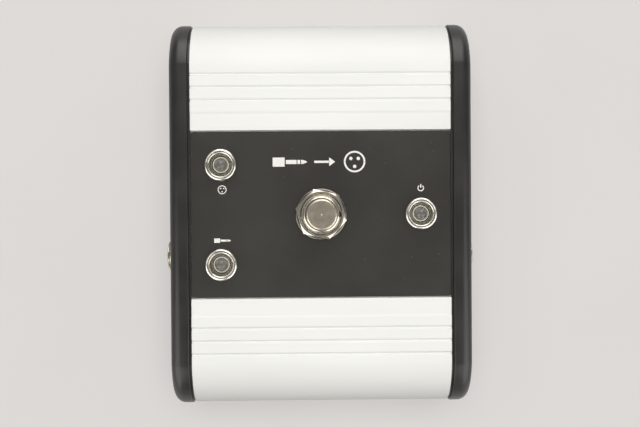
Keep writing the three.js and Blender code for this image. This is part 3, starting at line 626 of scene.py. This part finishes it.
def cap_skin(side):
    """The cap's outside: the set-back edge against the shell, the small lip and the rounded outer edge."""
    lip = arc(CAP_INNER + CAP_LIP, CAP_LIP, CAP_LIP, 180, 270, 4)
    fillet = arc(CAP_FACE - CAP_FILLET, CAP_FILLET, CAP_FILLET, -90, 0, 12)
    stations = [(HALF_X, REVEAL_INSET), (CAP_INNER, REVEAL_INSET), *lip, *fillet]
    verts, rings = [], []
    for x, inset in stations:
        outline = cap_outline(inset)
        rings.append(list(range(len(verts), len(verts) + len(outline))))
        verts += [(side * x, y, z) for y, z in outline]
    faces = ring_faces(rings, False) + [rings[0], list(reversed(rings[-1]))]
    return mesh_object(verts, faces)


def cone_cutter(side, y, z):
    """A countersink from the cap's face, with its clearance hole."""
    inner, mouth = SCREW_BORE, SCREW_HEAD + 0.2
    profile = [(0, HALF_X - 1), (inner, HALF_X - 1), (inner, CAP_FACE - HEAD_DEPTH), (mouth, CAP_FACE),
               (mouth, CAP_FACE + 1), (0, CAP_FACE + 1)]
    cutter = turned(profile, sides=48)
    turn = Matrix.Rotation(side * math.pi / 2, 4, "Y")
    cutter.data.transform(Matrix.Translation((0, y * MM, z * MM)) @ turn)
    return cutter


def through_cap(side, radius, spot):
    """A cutter that clears the nose of a connector."""
    low, high = on_side(side, CAP_BACK - 1, CAP_FACE + 1)
    return rod("x", radius + FIT, low, high, spot.y, spot.z, 96)


def make_cap(which, side, openings):
    cap = cap_skin(side)
    cut(cap, prism(cap_outline(CAP_RIM), *on_side(side, HALF_X - 1, CAP_BACK)))
    inside = CAP_BACK + 0.5
    span = on_side(side, HALF_X, inside)
    columns = [rod("x", BOSS_RADIUS + FIT, *span, y, z, 48) for y, z in boss_places()]
    tab_x = on_side(side, CAP_LOW.x, inside)
    outer = HALF_Y - WALL - TAB_GAP
    for end in (-1, 1):
        tab_y = on_side(end, outer - TAB_DEPTH, outer)
        columns.append(block((tab_x[0], tab_y[0], TAB_Z[0]), (tab_x[1], tab_y[1], TAB_Z[1])))
    join(cap, *columns)
    cut(cap, *[cone_cutter(side, y, z) for y, z in boss_places()], *openings)
    finish(cap, f"{which}_cover", "black_cap", f"{which}_end_cap", angle=28)


def make_caps():
    jack, xlr, power = (centre(n) for n in ("output_jack_nut", "xlr_insert", "power_jack_pin"))
    y, (low, high) = centre("ground_lift_slider").y, LIFT_SLOT_Z
    half = LIFT_SLOT_HALF
    slot = block((-CAP_FACE - 1, y - half, low), (1 - CAP_BACK, y + half, high))
    left = [through_cap(-1, XLR_BARREL, xlr), through_cap(-1, JACK_THREAD, jack), slot]
    left += [cone_cutter(-1, centre(n).y, centre(n).z) for n in ("xlr_screw_1", "xlr_screw_2")]
    make_cap("left", -1, left)
    make_cap("right", 1, [through_cap(1, JACK_THREAD, jack), through_cap(1, POWER_COLLAR, power)])


def make_base():
    base = block(BASE_LOW, BASE_HIGH)
    soften(base, 0.15, 2)
    cut(base, *drills(bottom_screw_nodes(), SCREW_BORE, BASE_LOW.z - 1, BASE_HIGH.z + 1, 40))
    finish(base, "base", "painted_steel", "bottom_plate", slot="black_steel")


def make_feet():
    """Round feet with an eased lower edge and a shallow dish underneath."""
    for i in range(1, 5):
        node = f"rubber_foot_{i}"
        low, high = box(node)
        top, r, ease = high.z, (high.x - low.x) / 2, 0.8
        edge = arc(r - ease, ease, ease, 0, -90, 6)
        profile = [(0, top), (r, top), *edge, (r * 0.45, 0), (r * 0.36, 0.5), (r * 0.3, 0.7), (0, 0.7)]
        foot = turned(profile, (centre(node).x, centre(node).y, 0), sides=72)
        finish(foot, f"foot_{i}", "foot_rubber", node)


# ---- screws ----


def cross_cutter(span, depth):
    """A tapered cross that sinks into a head whose face is at height 0, from above."""
    half, ends = 0.38, ((span, 0.3), (span * 0.45, -depth))
    verts = [(s * w, t * half, z) for w, z in ends for s in (-1, 1) for t in (-1, 1)]
    faces = [(0, 1, 3, 2), (4, 6, 7, 5), (0, 4, 5, 1), (1, 5, 7, 3), (3, 7, 6, 2), (2, 6, 4, 0)]
    arms = [mesh_object(verts, faces) for _ in range(2)]
    arms[1].data.transform(Matrix.Rotation(math.pi / 2, 4, "Z"))
    return join(*arms)


def screw_mesh(length, sunk):
    """A screw down the Z axis with the face of its head at height 0 if sunk, or else its underside."""
    points, relief = thread(SCREW_SHAFT, -length, -HEAD_DEPTH - 0.2 if sunk else -0.3, 0.5, 0.16)
    rim, edge = 0.25, 0.06
    if sunk:
        head = [(SCREW_SHAFT, -HEAD_DEPTH), (SCREW_HEAD, -rim)]
        head += [(SCREW_HEAD, -edge), (SCREW_HEAD - edge, 0)]
        face = 0.0
    else:
        dome = arc(0, 2 * rim, SCREW_HEAD, 0, 78.75, 7, HEAD_DEPTH - 2 * rim)
        head = [(SCREW_SHAFT, 0), (SCREW_HEAD, 0), *dome]
        face = HEAD_DEPTH
    profile = [(0, -length - 0.2), (SCREW_SHAFT * 0.6, -length - 0.2), *points, *head, (0, face)]
    screw = turned(profile, sides=48, relief=relief)
    cross = cross_cutter(SCREW_HEAD * 0.58, 1.0)
    cross.data.transform(Matrix.Translation((0, 0, (face - 0.05) * MM)))
    return cut(screw, cross)


def copy_screw(source, node, matrix):
    name = f"{node}_threaded"
    screw = bpy.data.objects.new(name, source.data.copy())
    bpy.context.collection.objects.link(screw)
    screw.data.transform(matrix)
    finish(screw, name, "black_steel", node)


def make_screws():
    rng = random.Random(4)
    groups = [([f"{s}_cap_screw_{i}" for s in ("left", "right") for i in range(1, 5)], 13.6, True),
              (["xlr_screw_1", "xlr_screw_2"], 4.1, True),
              (bottom_screw_nodes(), 4.3, False)]
    for nodes, length, sunk in groups:
        source = screw_mesh(length, sunk)
        for node in nodes:
            spot, (low, high) = centre(node), box(node)
            twist = Matrix.Rotation(rng.uniform(0, math.pi), 4, "Z")
            if sunk:
                side = 1 if spot.x > 0 else -1
                face = Vector((high.x if side > 0 else low.x, spot.y, spot.z))
                turn = Matrix.Rotation(side * math.pi / 2, 4, "Y")
            else:
                face = Vector((spot.x, spot.y, SHELL_BASE))
                turn = Matrix.Rotation(math.pi, 4, "X")
            matrix = Matrix.Translation(face * MM) @ turn @ twist
            copy_screw(source, node, matrix)
        bpy.data.objects.remove(source)


# ---- footswitch ----


def hex_nut(flats, low, high, hole, corner, chamfer=0.55, both=False):
    """A nut whose corners are turned down by a shallow cone."""
    radius = flats / math.sqrt(3)
    nut = prism(arc(0, 0, radius, corner, corner + 300, 5), low, high, "z")
    waist = flats / 2 - 0.05
    profile = [(0, low), (waist if both else radius + 1, low)]
    if both:
        profile.append((radius + 0.02, low + chamfer))
    profile += [(radius + 0.02, high - chamfer), (waist, high), (0, high)]
    boolean(nut, "INTERSECT", turned(profile, sides=128))
    over = high + 0.15
    bore = [(0, low - 1), (hole, low - 1), (hole, high - 0.3), (hole + 0.45, over), (0, over)]
    return soften(cut(nut, turned(bore, sides=96)), 0.07, 2, 28)


def make_switch_nuts():
    hole = BUSHING_RADIUS + NUT_EASE
    low, high = box("footswitch_nut")
    nut = hex_nut(SWITCH_FLATS, low.z, high.z, hole, NUT_TURN, 0.75)
    finish(nut, "footswitch_hex_nut", "nickel", "footswitch_nut")
    low, high = box("footswitch_washer")
    r, mid = high.x, (low.z + high.z) / 2
    rim = [(r - 0.15, low.z), (r, low.z + 0.15), (r, mid), (r - 0.1, high.z - 0.12), (r - 0.3, high.z)]
    # The washer gets nickel darkened to paint the shade it lies in under the nut
    washer = turned([(6.2, low.z), *rim, (6.4, high.z), (6.2, mid)], sides=128)
    finish(washer, "footswitch_round_washer", "shaded_nickel", "footswitch_washer", slot="nickel")
    low, high = box("footswitch_backing_nut")
    nut = hex_nut(SWITCH_FLATS, low.z, high.z, hole, REAR_NUT_TURN, both=True)
    finish(nut, "footswitch_rear_nut", "nickel", "footswitch_backing_nut")


def make_bushing(top):
    """The threaded bushing with a rounded mouth, rooted in the case."""
    points, relief = thread(BUSHING_RADIUS, CASE_TOP + 0.4, top - 0.7, 0.75, 0.38)
    neck, root = BUSHING_RADIUS - 0.38, CASE_TOP - 1
    lip = [(0, 0.62), (0.06, 0.4), (0.22, 0.2), (0.44, 0.06), (0.66, 0)]
    lip = [(neck - inward, top - down) for inward, down in lip]
    profile = [(0, root), (neck, root), *points, *lip, (0, top)]
    return turned(profile, sides=144, relief=relief)


def make_switch_body():
    low, high = box("footswitch_housing")
    half, inner, top = high.x, high.x - 1, high.z
    case = block((-half, -half, low.z), (half, half, CASE_TOP))
    soften(case, 0.6, 3)
    join(case, make_bushing(top))
    bore = rod("z", BUSHING_BORE, CASE_TOP - 2, top + 0.05, sides=96)
    room = block((-inner, -inner, low.z - 1), (inner, inner, CASE_TOP - 1))
    key = block((KEY_FLOOR, -KEY_HALF, CASE_TOP), (BUSHING_RADIUS + 1, KEY_HALF, top + 1))
    cut(case, bore, room, key)
    finish(case, "footswitch_case", "nickel", "footswitch_housing", angle=40)


def make_button():
    """The stem, the collar that the spring bears on, and the round cap with a dot in its middle."""
    low, high = box("footswitch_button")
    r, top, edge, ease = BUTTON_RADIUS, high.z, 0.8, 0.2
    stem, rim, (under, over) = BUTTON_STEM, high.x, BUTTON_COLLAR
    profile = [(0, low.z), (stem - ease, low.z), (stem, low.z + ease), (stem, under), (rim - ease, under),
               (rim, under + ease), (rim, over - ease), (rim - ease, over), (r, over)]
    profile += arc(r - edge, top - edge, edge, 0, 90, 10)
    profile += [(0.26, top), (0.18, top - 0.07), (0, top - 0.1)]
    button = turned(profile, sides=144)
    finish(button, "footswitch_cap", "turned_nickel", "footswitch_button", body=BUTTON, slot="nickel")


def make_spring():
    """A coil between the terminal base and the button's collar."""
    low, high = box("footswitch_spring")
    length, wire, steps, sides = high.z - low.z, SPRING_WIRE, 40, 10
    count = int(SPRING_TURNS * steps)
    verts, rings = [], []
    for i in range(count + 1):
        around = 2 * math.pi * i / steps
        height = low.z + wire + (length - 2 * wire) * i / count
        rings.append(list(range(len(verts), len(verts) + sides)))
        for r, z in circle(SPRING_RADIUS, height, wire, sides):
            verts.append((r * math.cos(around), r * math.sin(around), z))
    faces = ring_faces(rings, False) + [rings[0], list(reversed(rings[-1]))]
    spring = mesh_object(verts, faces)
    finish(spring, "footswitch_coil", "die_cast_zinc", "footswitch_spring", slot="spring_steel")
    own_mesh(spring)


# ---- indicator lights ----


def make_bezel(node):
    """A rolled outer ring, a second thin ring inside it, and a dark funnel down to the lamp."""
    low, high = box(node)
    spot, rise = centre(node), high.z - FACE
    points, relief = thread(BEZEL_THREAD, low.z + 0.3, FACE - 0.2, 0.6, 0.22)
    roll = [(5.15, 0), (5.15, 0.22), (5.12, 0.42), (5.03, 0.6), (4.9, 0.77), (4.73, 0.91), (4.55, 0.98),
            (4.4, 1), (4.27, 0.95), (4.17, 0.85), (4.1, 0.72), (4.06, 0.62), (4.0, 0.62), (3.95, 0.7),
            (3.86, 0.76), (3.75, 0.78), (3.64, 0.75), (3.56, 0.68), (3.48, 0.55), (2.95, 0.1), (2.8, -0.05)]
    roll = [(r, FACE + share * rise) for r, share in roll]
    profile = [(2.8, low.z), (3.5, low.z), *points, *roll]
    bezel = turned(profile, (spot.x, spot.y, 0), sides=128, relief=relief)
    finish(bezel, f"{node}_ring", "chrome", node, angle=40)


def make_lamp(node):
    """A clear lens set in a pale cup, with the two legs under it."""
    low, high = box(node)
    spot, base, rim, r = centre(node), LAMP_BASE, LAMP_RIM, LENS_RADIUS
    place, seat = (spot.x, spot.y, 0), LAMP_RIM - 0.15
    outside = [(0, base), (2.5, base), (2.5, seat), (2.4, rim), (2.22, rim)]
    inside = [(r + 0.02, rim - 0.12), (1.85, 46.3), (0.6, 45.8), (0.5, 43.0), (0, 43.0)]
    cup = turned(outside + inside, place, sides=96)
    finish(cup, f"{node}_cup", "lamp_cup", node, slot="clear_lens")
    crown = high.z + 0.2
    dome = arc(0, seat, r, 0, 84, 14, crown - seat)
    lens = turned([(0, LENS_FLOOR), (1.8, LENS_FLOOR), *dome, (0, crown)], place, sides=96)
    finish(lens, f"{node}_lens", "clear_lens", angle=50)
    y, half, top = spot.y, LEG_HALF, base + 0.5
    legs = [block((x - half, y - half, low.z), (x + half, y + half, top))
            for x in (spot.x - PIN_PITCH / 2, spot.x + PIN_PITCH / 2)]
    finish(join(*legs), f"{node}_leads", "contact_nickel")


def make_lights():
    for node in light_nodes("bezel"):
        make_bezel(node)
    for node in light_nodes("lamp"):
        make_lamp(node)
    for node in light_nodes("nut"):
        low, high = box(node)
        nut = hex_nut(BEZEL_FLATS, low.z, high.z, BEZEL_THREAD + NUT_EASE, 0, 0.4, both=True)
        nut.data.transform(Matrix.Translation((centre(node).x * MM, centre(node).y * MM, 0)))
        finish(nut, f"{node}_hex", "nickel", node)


# ---- printed marks ----


def ink(name, shapes):
    """Prints plane shapes on the faceplate as one thin layer."""
    parts = [prism(outline, FACE, FACE + INK, "z") for outline in shapes]
    if len(parts) > 1:
        join(parts[0], *parts[1:])
    finish(parts[0], name, "print_white", slot="black_panel")
    return parts[0]


def ring_band(cx, cy, radius, width, start=0, end=360, steps=48):
    outer = arc(cx, cy, radius, start, end, steps)
    inner = arc(cx, cy, radius - width, end, start, steps)
    return outer + inner


def bar(x0, y0, x1, y1):
    return [(x0, y0), (x1, y0), (x1, y1), (x0, y1)]


def plug_mark(cx, cy, scale):
    """A jack plug seen from the side: handle, sleeve, ring and pointed tip."""
    def at(points):
        return [(cx + scale * u, cy + scale * v) for u, v in points]
    return [
        at(bar(-3, -0.8, -0.9, 0.8)),
        at(bar(-0.7, -0.36, 1.2, 0.36)),
        at(bar(1.35, -0.36, 1.8, 0.36)),
        at([(1.95, -0.36), (2.3, -0.36), (3, -0.08), (3, 0.08), (2.3, 0.36), (1.95, 0.36)]),
    ]


def three_pin_mark(cx, cy, radius, width):
    """A round receptacle with three pins."""
    half_a = ring_band(cx, cy, radius, width, 0.5, 179.5)
    half_b = ring_band(cx, cy, radius, width, 180.5, 359.5)
    pins = [circle(cx + radius * 0.45 * math.cos(a), cy + radius * 0.45 * math.sin(a), radius * 0.16, 24)
            for a in (math.radians(d) for d in (40, 140, 270))]
    return [half_a, half_b, *pins]


def power_mark(cx, cy, radius, width):
    """The usual open circle with a bar."""
    stem = bar(cx - width / 2, cy + radius * 0.1, cx + width / 2, cy + radius * 1.25)
    return [ring_band(cx, cy, radius, width, 125, 415), stem]


def arrow_mark(cx, cy, length, width):
    head, tip = length * 0.3, cx + length / 2
    shaft = bar(cx - length / 2, cy - width / 2, tip - head, cy + width / 2)
    barb = tip - head + 0.1
    return [shaft, [(barb, cy - head * 0.7), (tip, cy), (barb, cy + head * 0.7)]]


def make_marks():
    xlr, quarter, power = (centre(n) for n in light_nodes("bezel"))
    ink("mark_balanced", three_pin_mark(xlr.x + 0.4, xlr.y - 7.6, 1.35, 0.26))
    ink("mark_jack", plug_mark(quarter.x + 0.4, quarter.y + 7.4, 0.85))
    ink("mark_power", power_mark(power.x, power.y + 7.8, 1.0, 0.3))
    line = PLATE_HIGH.y * 0.63
    ink("mark_signal_in", plug_mark(-9.5, line, 1.75))
    ink("mark_signal_flow", arrow_mark(1.2, line, 6.4, 0.7))
    ink("mark_signal_out", three_pin_mark(10.4, line, 3.3, 0.55))


# ---- connectors ----


def facing(side, node):
    """The move that takes a connector drawn along +X to a CAD node, facing out on its side."""
    spot = centre(node)
    turn = Matrix.Rotation(0 if side > 0 else math.pi, 4, "Z")
    return Matrix.Translation((0, spot.y * MM, spot.z * MM)) @ turn


def make_jack_tube(name, place, front):
    """The threaded metal nose that the plug goes into."""
    root, r = CAP_BACK - 1, JACK_THREAD
    points, relief = thread(r, CAP_BACK - 0.5, front - 0.35, 0.7, 0.3)
    nose = [(r - 0.32, front - 0.3), (r - 0.45, front - 0.08), (r - 0.6, front)]
    mouth = [(JACK_BORE + 0.45, front), (JACK_BORE, front - 0.45)]
    profile = [(JACK_BORE, root), (r - 0.3, root), *points, *nose, *mouth]
    tube = turned(profile, axis="x", sides=96, relief=relief)
    tube.data.transform(place)
    finish(tube, f"{name}_socket_thread", "nickel", angle=40)


def make_jack(name, side):
    place = facing(side, f"{name}_jack_nut")
    axis_z = centre(f"{name}_jack_nut").z
    low, high = box(f"{name}_jack")
    back, front = reach(f"{name}_jack")
    half, top = (high.y - low.y) / 2, high.z - axis_z
    case = block((back, -half, low.z - axis_z), (CAP_BACK, half, top))
    soften(case, 0.5, 3)
    make_jack_tube(name, place, front)
    bore = rod("x", JACK_BORE, back + 1.2, CAP_BACK + 1, 0, 0, 72)
    near, far = reach(f"{name}_jack_tip_spring")
    cut(case, bore, block((near - 1.2, -1.9, 0), (far + 1.2, 1.9, top + 1)))
    case.data.transform(place)
    finish(case, f"{name}_socket", "connector_plastic", f"{name}_jack", angle=40)
    nut = hex_nut(JACK_FLATS, *reach(f"{name}_jack_nut"), JACK_THREAD + NUT_EASE, 0, 0.4)
    nut.data.transform(place @ Matrix.Rotation(math.pi / 2, 4, "Y"))
    finish(nut, f"{name}_socket_nut", "nickel", f"{name}_jack_nut")


def make_xlr_shell():
    """The square flange behind the cap, the barrel through it and the housing down to the board."""
    low, high = box("xlr_shell")
    back, front = reach("xlr_shell")
    flange, r, bore = CAP_BACK - 2, XLR_BARREL, XLR_BORE
    outline = rounded_rectangle((high.y - low.y) / 2, (high.z - low.z) / 2, XLR_CORNER, 8)
    shell = prism(outline, flange, CAP_BACK)
    soften(shell, 0.2, 2)
    floor = box("main_board")[1].z - centre("xlr_insert").z
    housing = block((back, -r, floor), (flange + 0.5, r, r))
    lip = [(r, front - 0.4), (r - 0.12, front - 0.12), (r - 0.4, front)]
    barrel = turned([(0, flange), (r, flange), *lip, (0, front)], axis="x", sides=128)
    join(shell, housing, barrel)
    mouth = [(bore, front - 0.8), (bore + 0.7, front + 0.05), (0, front + 0.05)]
    hollow = turned([(0, back - 1), (bore, back - 1), *mouth], axis="x", sides=128)
    keyway = block((front - 6, -XLR_KEY_HALF, bore - 1), (front + 1, XLR_KEY_HALF, bore + 1.1))
    y, z = XLR_SCREWS
    holes = [rod("x", SCREW_BORE, flange - 1, CAP_BACK + 1, s * y, s * z, 40) for s in (-1, 1)]
    cut(shell, hollow, keyway, *holes)
    shell.data.transform(facing(-1, "xlr_insert"))
    finish(shell, "xlr_receptacle", "die_cast_zinc", "xlr_shell", angle=40)


def make_xlr_contacts():
    """The black insert and the three pins that stand in it."""
    pins = [f"xlr_pin_{i}" for i in (1, 2, 3)]
    low, high = box("xlr_insert")
    spot = centre("xlr_insert")
    insert = rod("x", XLR_BORE - 0.1, low.x, high.x, spot.y, spot.z, 96)
    soften(insert, 0.3, 2)
    hole = XLR_PIN + 0.08
    cut(insert, *[rod("x", hole, low.x - 1, high.x + 1, centre(n).y, centre(n).z, 40) for n in pins])
    finish(insert, "xlr_contact_block", "connector_plastic", "xlr_insert")
    for node in pins:
        (tail, tip), r = reach(node), XLR_PIN
        nose = arc(0, tip - XLR_PIN_TIP, r, 0, 81, 9, XLR_PIN_TIP)
        profile = [(0, tail), (r - 0.1, tail), (r, tail + 0.1), *nose, (0, tip)]
        pin = turned(profile, axis="x", sides=48)
        pin.data.transform(facing(-1, node))
        finish(pin, f"{node}_contact", "contact_nickel", node)


def make_power_inlet():
    place = facing(1, "power_jack_pin")
    axis_z = centre("power_jack_pin").z
    low, high = box("power_jack")
    half, front, r = (high.y - low.y) / 2, high.x, POWER_COLLAR
    case = block((low.x, -half, low.z - axis_z), (CAP_BACK, half, high.z - axis_z))
    soften(case, 0.4, 3)
    rim = [(r, front - 0.3), (r - 0.1, front - 0.08), (r - 0.3, front)]
    profile = [(0, CAP_BACK - 1), (r, CAP_BACK - 1), *rim, (0, front)]
    join(case, turned(profile, axis="x", sides=96))
    mouth = [(POWER_BORE, front - 0.4), (POWER_BORE + 0.35, front + 0.05), (0, front + 0.05)]
    profile = [(0, POWER_FLOOR), (POWER_BORE, POWER_FLOOR), *mouth]
    bore = turned(profile, axis="x", sides=72)
    cut(case, bore, rod("x", 1.3, low.x - 1, POWER_FLOOR + 1, 0, 0, 32))
    case.data.transform(place)
    finish(case, "power_socket", "connector_plastic", "power_jack", angle=40)
    low, high = box("power_jack_pin")
    nose = arc(0, high.x - 0.6, 1, 0, 75, 5, 0.6)
    pin = turned([(0, low.x), (1, low.x), *nose, (0, high.x)], axis="x", sides=40)
    pin.data.transform(place)
    finish(pin, "power_socket_pin", "contact_nickel", "power_jack_pin")


def make_lift_slider():
    """The slider's ridged grip on the carriage that runs inside the switch."""
    low, high = box("ground_lift_slider")
    _, y, z = centre("ground_lift_slider")
    grip = block((low.x, y - 1, z - 1.5), (GRIP_BACK, y + 1, z + 1.5))
    soften(grip, 0.2, 2)
    cut(grip, *[block((low.x - 1, y - 2, z + up - 0.2), (low.x + 0.35, y + 2, z + up + 0.2))
                for up in (-0.8, 0, 0.8)])
    join(grip, block((GRIP_BACK - 0.4, y - 2, low.z), (high.x, y + 2, high.z)))
    finish(grip, "ground_lift_grip", "connector_plastic", "ground_lift_slider", body=SLIDER)


# ---- inside ----


def make_capacitors(top):
    """Sleeved cans with a crimp near the foot."""
    r, h = 4.0, 11.5
    crimp = [(r, 1.2), (r - 0.25, 1.5), (r, 1.8)]
    profile = [(0, 0), (r - 0.3, 0), (r, 0.3), *crimp, (r, h - 0.3), (r - 0.4, h), (0, h)]
    for i, (x, y) in enumerate(CAPACITORS):
        can = turned(profile, (x, y, top), sides=48)
        finish(can, f"board_capacitor_{i + 1}", "capacitor_sleeve", slot="connector_plastic")


def make_chips(top):
    """Eight-legged chips, four legs to a side."""
    for i, (x, y) in enumerate(CHIPS):
        chip = block((x - 4.8, y - 3.2, top + 0.5), (x + 4.8, y + 3.2, top + 3.8))
        soften(chip, 0.25, 2)
        places = [(x + PIN_PITCH * (k - 1.5), y + s * 3.6) for k in range(4) for s in (-1, 1)]
        join(chip, *[block((u - LEG_HALF, v - 0.5, top), (u + LEG_HALF, v + 0.5, top + 2))
                     for u, v in places])
        finish(chip, f"board_chip_{i + 1}", "connector_plastic")


def make_resistors(top):
    half = [(0.95, 1.6), (1.2, 1.9), (1.2, 2.8), (0.5, 3.2), (0, 3.2)]
    profile = [(r, -x) for r, x in reversed(half)] + half
    for i in range(RESISTORS):
        x, y = RESISTOR_START
        resistor = turned(profile, (x + RESISTOR_PITCH * i, y, top + 1.3), "x", 24)
        finish(resistor, f"board_resistor_{i + 1}", "winding")


def make_board_parts():
    """Small parts that stand on the circuit board."""
    top = box("main_board")[1].z + 0.02
    make_capacitors(top)
    make_chips(top)
    make_resistors(top)


def dress_cad_nodes():
    """Gives the CAD nodes that stay as they are their own materials."""
    dressed = {
        "main_board": "board",
        "footswitch_terminal_base": "phenolic",
        "footswitch_contact_bridge": "brass",
        "transformer_core": "core",
        "transformer_winding": "winding",
        "output_relay": "relay",
        "switch_ribbon": "ribbon",
        "output_jack_tip_spring": "contact_nickel",
        "instrument_jack_tip_spring": "contact_nickel",
        "ground_lift_switch": "connector_plastic",
    }
    for node, look in dressed.items():
        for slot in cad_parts[node].material_slots:
            slot.material = LOOKS[look]


# ---- stage ----


def make_floor():
    """White cloth with faint grey clouds, bright enough by itself to keep the shadows soft."""
    look = Look("studio_cloth", (0.34, 0.328, 0.322), 0.8, Specular_IOR_Level=0.1)
    cloud = look.noise(16, detail=6)
    tone = look.mix(look.ramp(cloud, 0.3, 0.7), (0.94, 0.93, 0.915), (1.0, 0.98, 0.96))
    look.links.new(tone, look.shader.inputs["Emission Color"])
    look.set("Emission Strength", FLOOR_GLOW)
    corners = [(x, y, 0) for x, y in bar(-FLOOR_HALF, -FLOOR_HALF, FLOOR_HALF, FLOOR_HALF)]
    floor = mesh_object(corners, [(0, 1, 2, 3)], "floor")
    floor.data.materials.append(look.material)


def sky_level(nodes, links, direction, level, axis, inner, outer, value):
    """Blends a patch of sky round an axis into the level so far. Angles are in degrees off the axis."""
    near = nodes.new("ShaderNodeVectorMath")
    near.operation = "DOT_PRODUCT"
    near.inputs[1].default_value = Vector(axis).normalized()
    links.new(direction, near.inputs[0])
    edge = nodes.new("ShaderNodeMapRange")
    edge.interpolation_type = "SMOOTHSTEP"
    edge.inputs["From Min"].default_value = math.cos(math.radians(outer))
    edge.inputs["From Max"].default_value = math.cos(math.radians(inner))
    links.new(near.outputs["Value"], edge.inputs["Value"])
    blend = nodes.new("ShaderNodeMix")
    links.new(edge.outputs["Result"], blend.inputs[0])
    links.new(level, blend.inputs[2])
    blend.inputs[3].default_value = value
    return blend.outputs[0]


def make_world():
    """A pale room that is brighter behind the box and even overhead."""
    world = bpy.data.worlds.new("studio")
    bpy.context.scene.world = world
    world.use_nodes = True
    nodes, links = world.node_tree.nodes, world.node_tree.links
    background = nodes["Background"]
    direction = nodes.new("ShaderNodeTexCoord").outputs["Generated"]
    split = nodes.new("ShaderNodeSeparateXYZ")
    links.new(direction, split.inputs["Vector"])
    height = nodes.new("ShaderNodeMapRange")
    height.inputs["From Max"].default_value = 0.8
    height.inputs["To Min"].default_value, height.inputs["To Max"].default_value = SKY_LOW, SKY_HIGH
    links.new(split.outputs["Z"], height.inputs["Value"])
    level = height.outputs["Result"]
    for patch in SKY_PATCHES:
        level = sky_level(nodes, links, direction, level, *patch)
    links.new(level, background.inputs["Strength"])
    background.inputs["Color"].default_value = (*SKY_COLOUR, 1)


def add_area(name, place, size, power):
    """A square softbox aimed at the box, and not seen through its lenses."""
    light = bpy.data.lights.new(name, "AREA")
    light.size = size
    light.energy = power
    light.color = LAMP_COLOUR
    obj = bpy.data.objects.new(name, light)
    obj.location = place
    obj.visible_transmission = False
    aim = Vector(SOFTBOX_AIM) - Vector(place)
    obj.rotation_euler = aim.to_track_quat("-Z", "Y").to_euler()
    bpy.context.collection.objects.link(obj)
    return obj


def make_lights_and_camera():
    """The overhead light shapes the box, and the cards are there to be seen in polished parts."""
    overhead = add_area("softbox_overhead", *OVERHEAD)
    overhead.visible_glossy = False
    for i, card in enumerate(CARDS):
        add_area(f"card_{i}", *card).visible_diffuse = False
    camera = bpy.data.objects.new("camera", bpy.data.cameras.new("camera"))
    camera.data.sensor_width = 36
    camera.data.lens = CAMERA_LENS
    camera.data.clip_start = 0.01
    target = Vector(CAMERA_AIM)
    camera.location = target + Vector(CAMERA_REACH)
    back = (camera.location - target).normalized()
    roll = math.radians(CAMERA_ROLL)
    hint = Vector((math.sin(roll), math.cos(roll), 0))
    right = hint.cross(back).normalized()
    up = back.cross(right)
    turn = Matrix((right, up, back)).transposed().to_4x4()
    camera.matrix_world = Matrix.Translation(camera.location) @ turn
    bpy.context.collection.objects.link(camera)
    bpy.context.scene.camera = camera
    bpy.context.scene.view_settings.view_transform = "Standard"


make_lights_and_camera()
make_world()
make_floor()
make_shell()
make_faceplate()
make_caps()
make_base()
make_feet()
make_screws()
make_switch_nuts()
make_switch_body()
make_button()
make_spring()
make_lights()
make_marks()
make_jack("output", -1)
make_jack("instrument", 1)
make_xlr_shell()
make_xlr_contacts()
make_power_inlet()
make_lift_slider()
make_board_parts()
dress_cad_nodes()
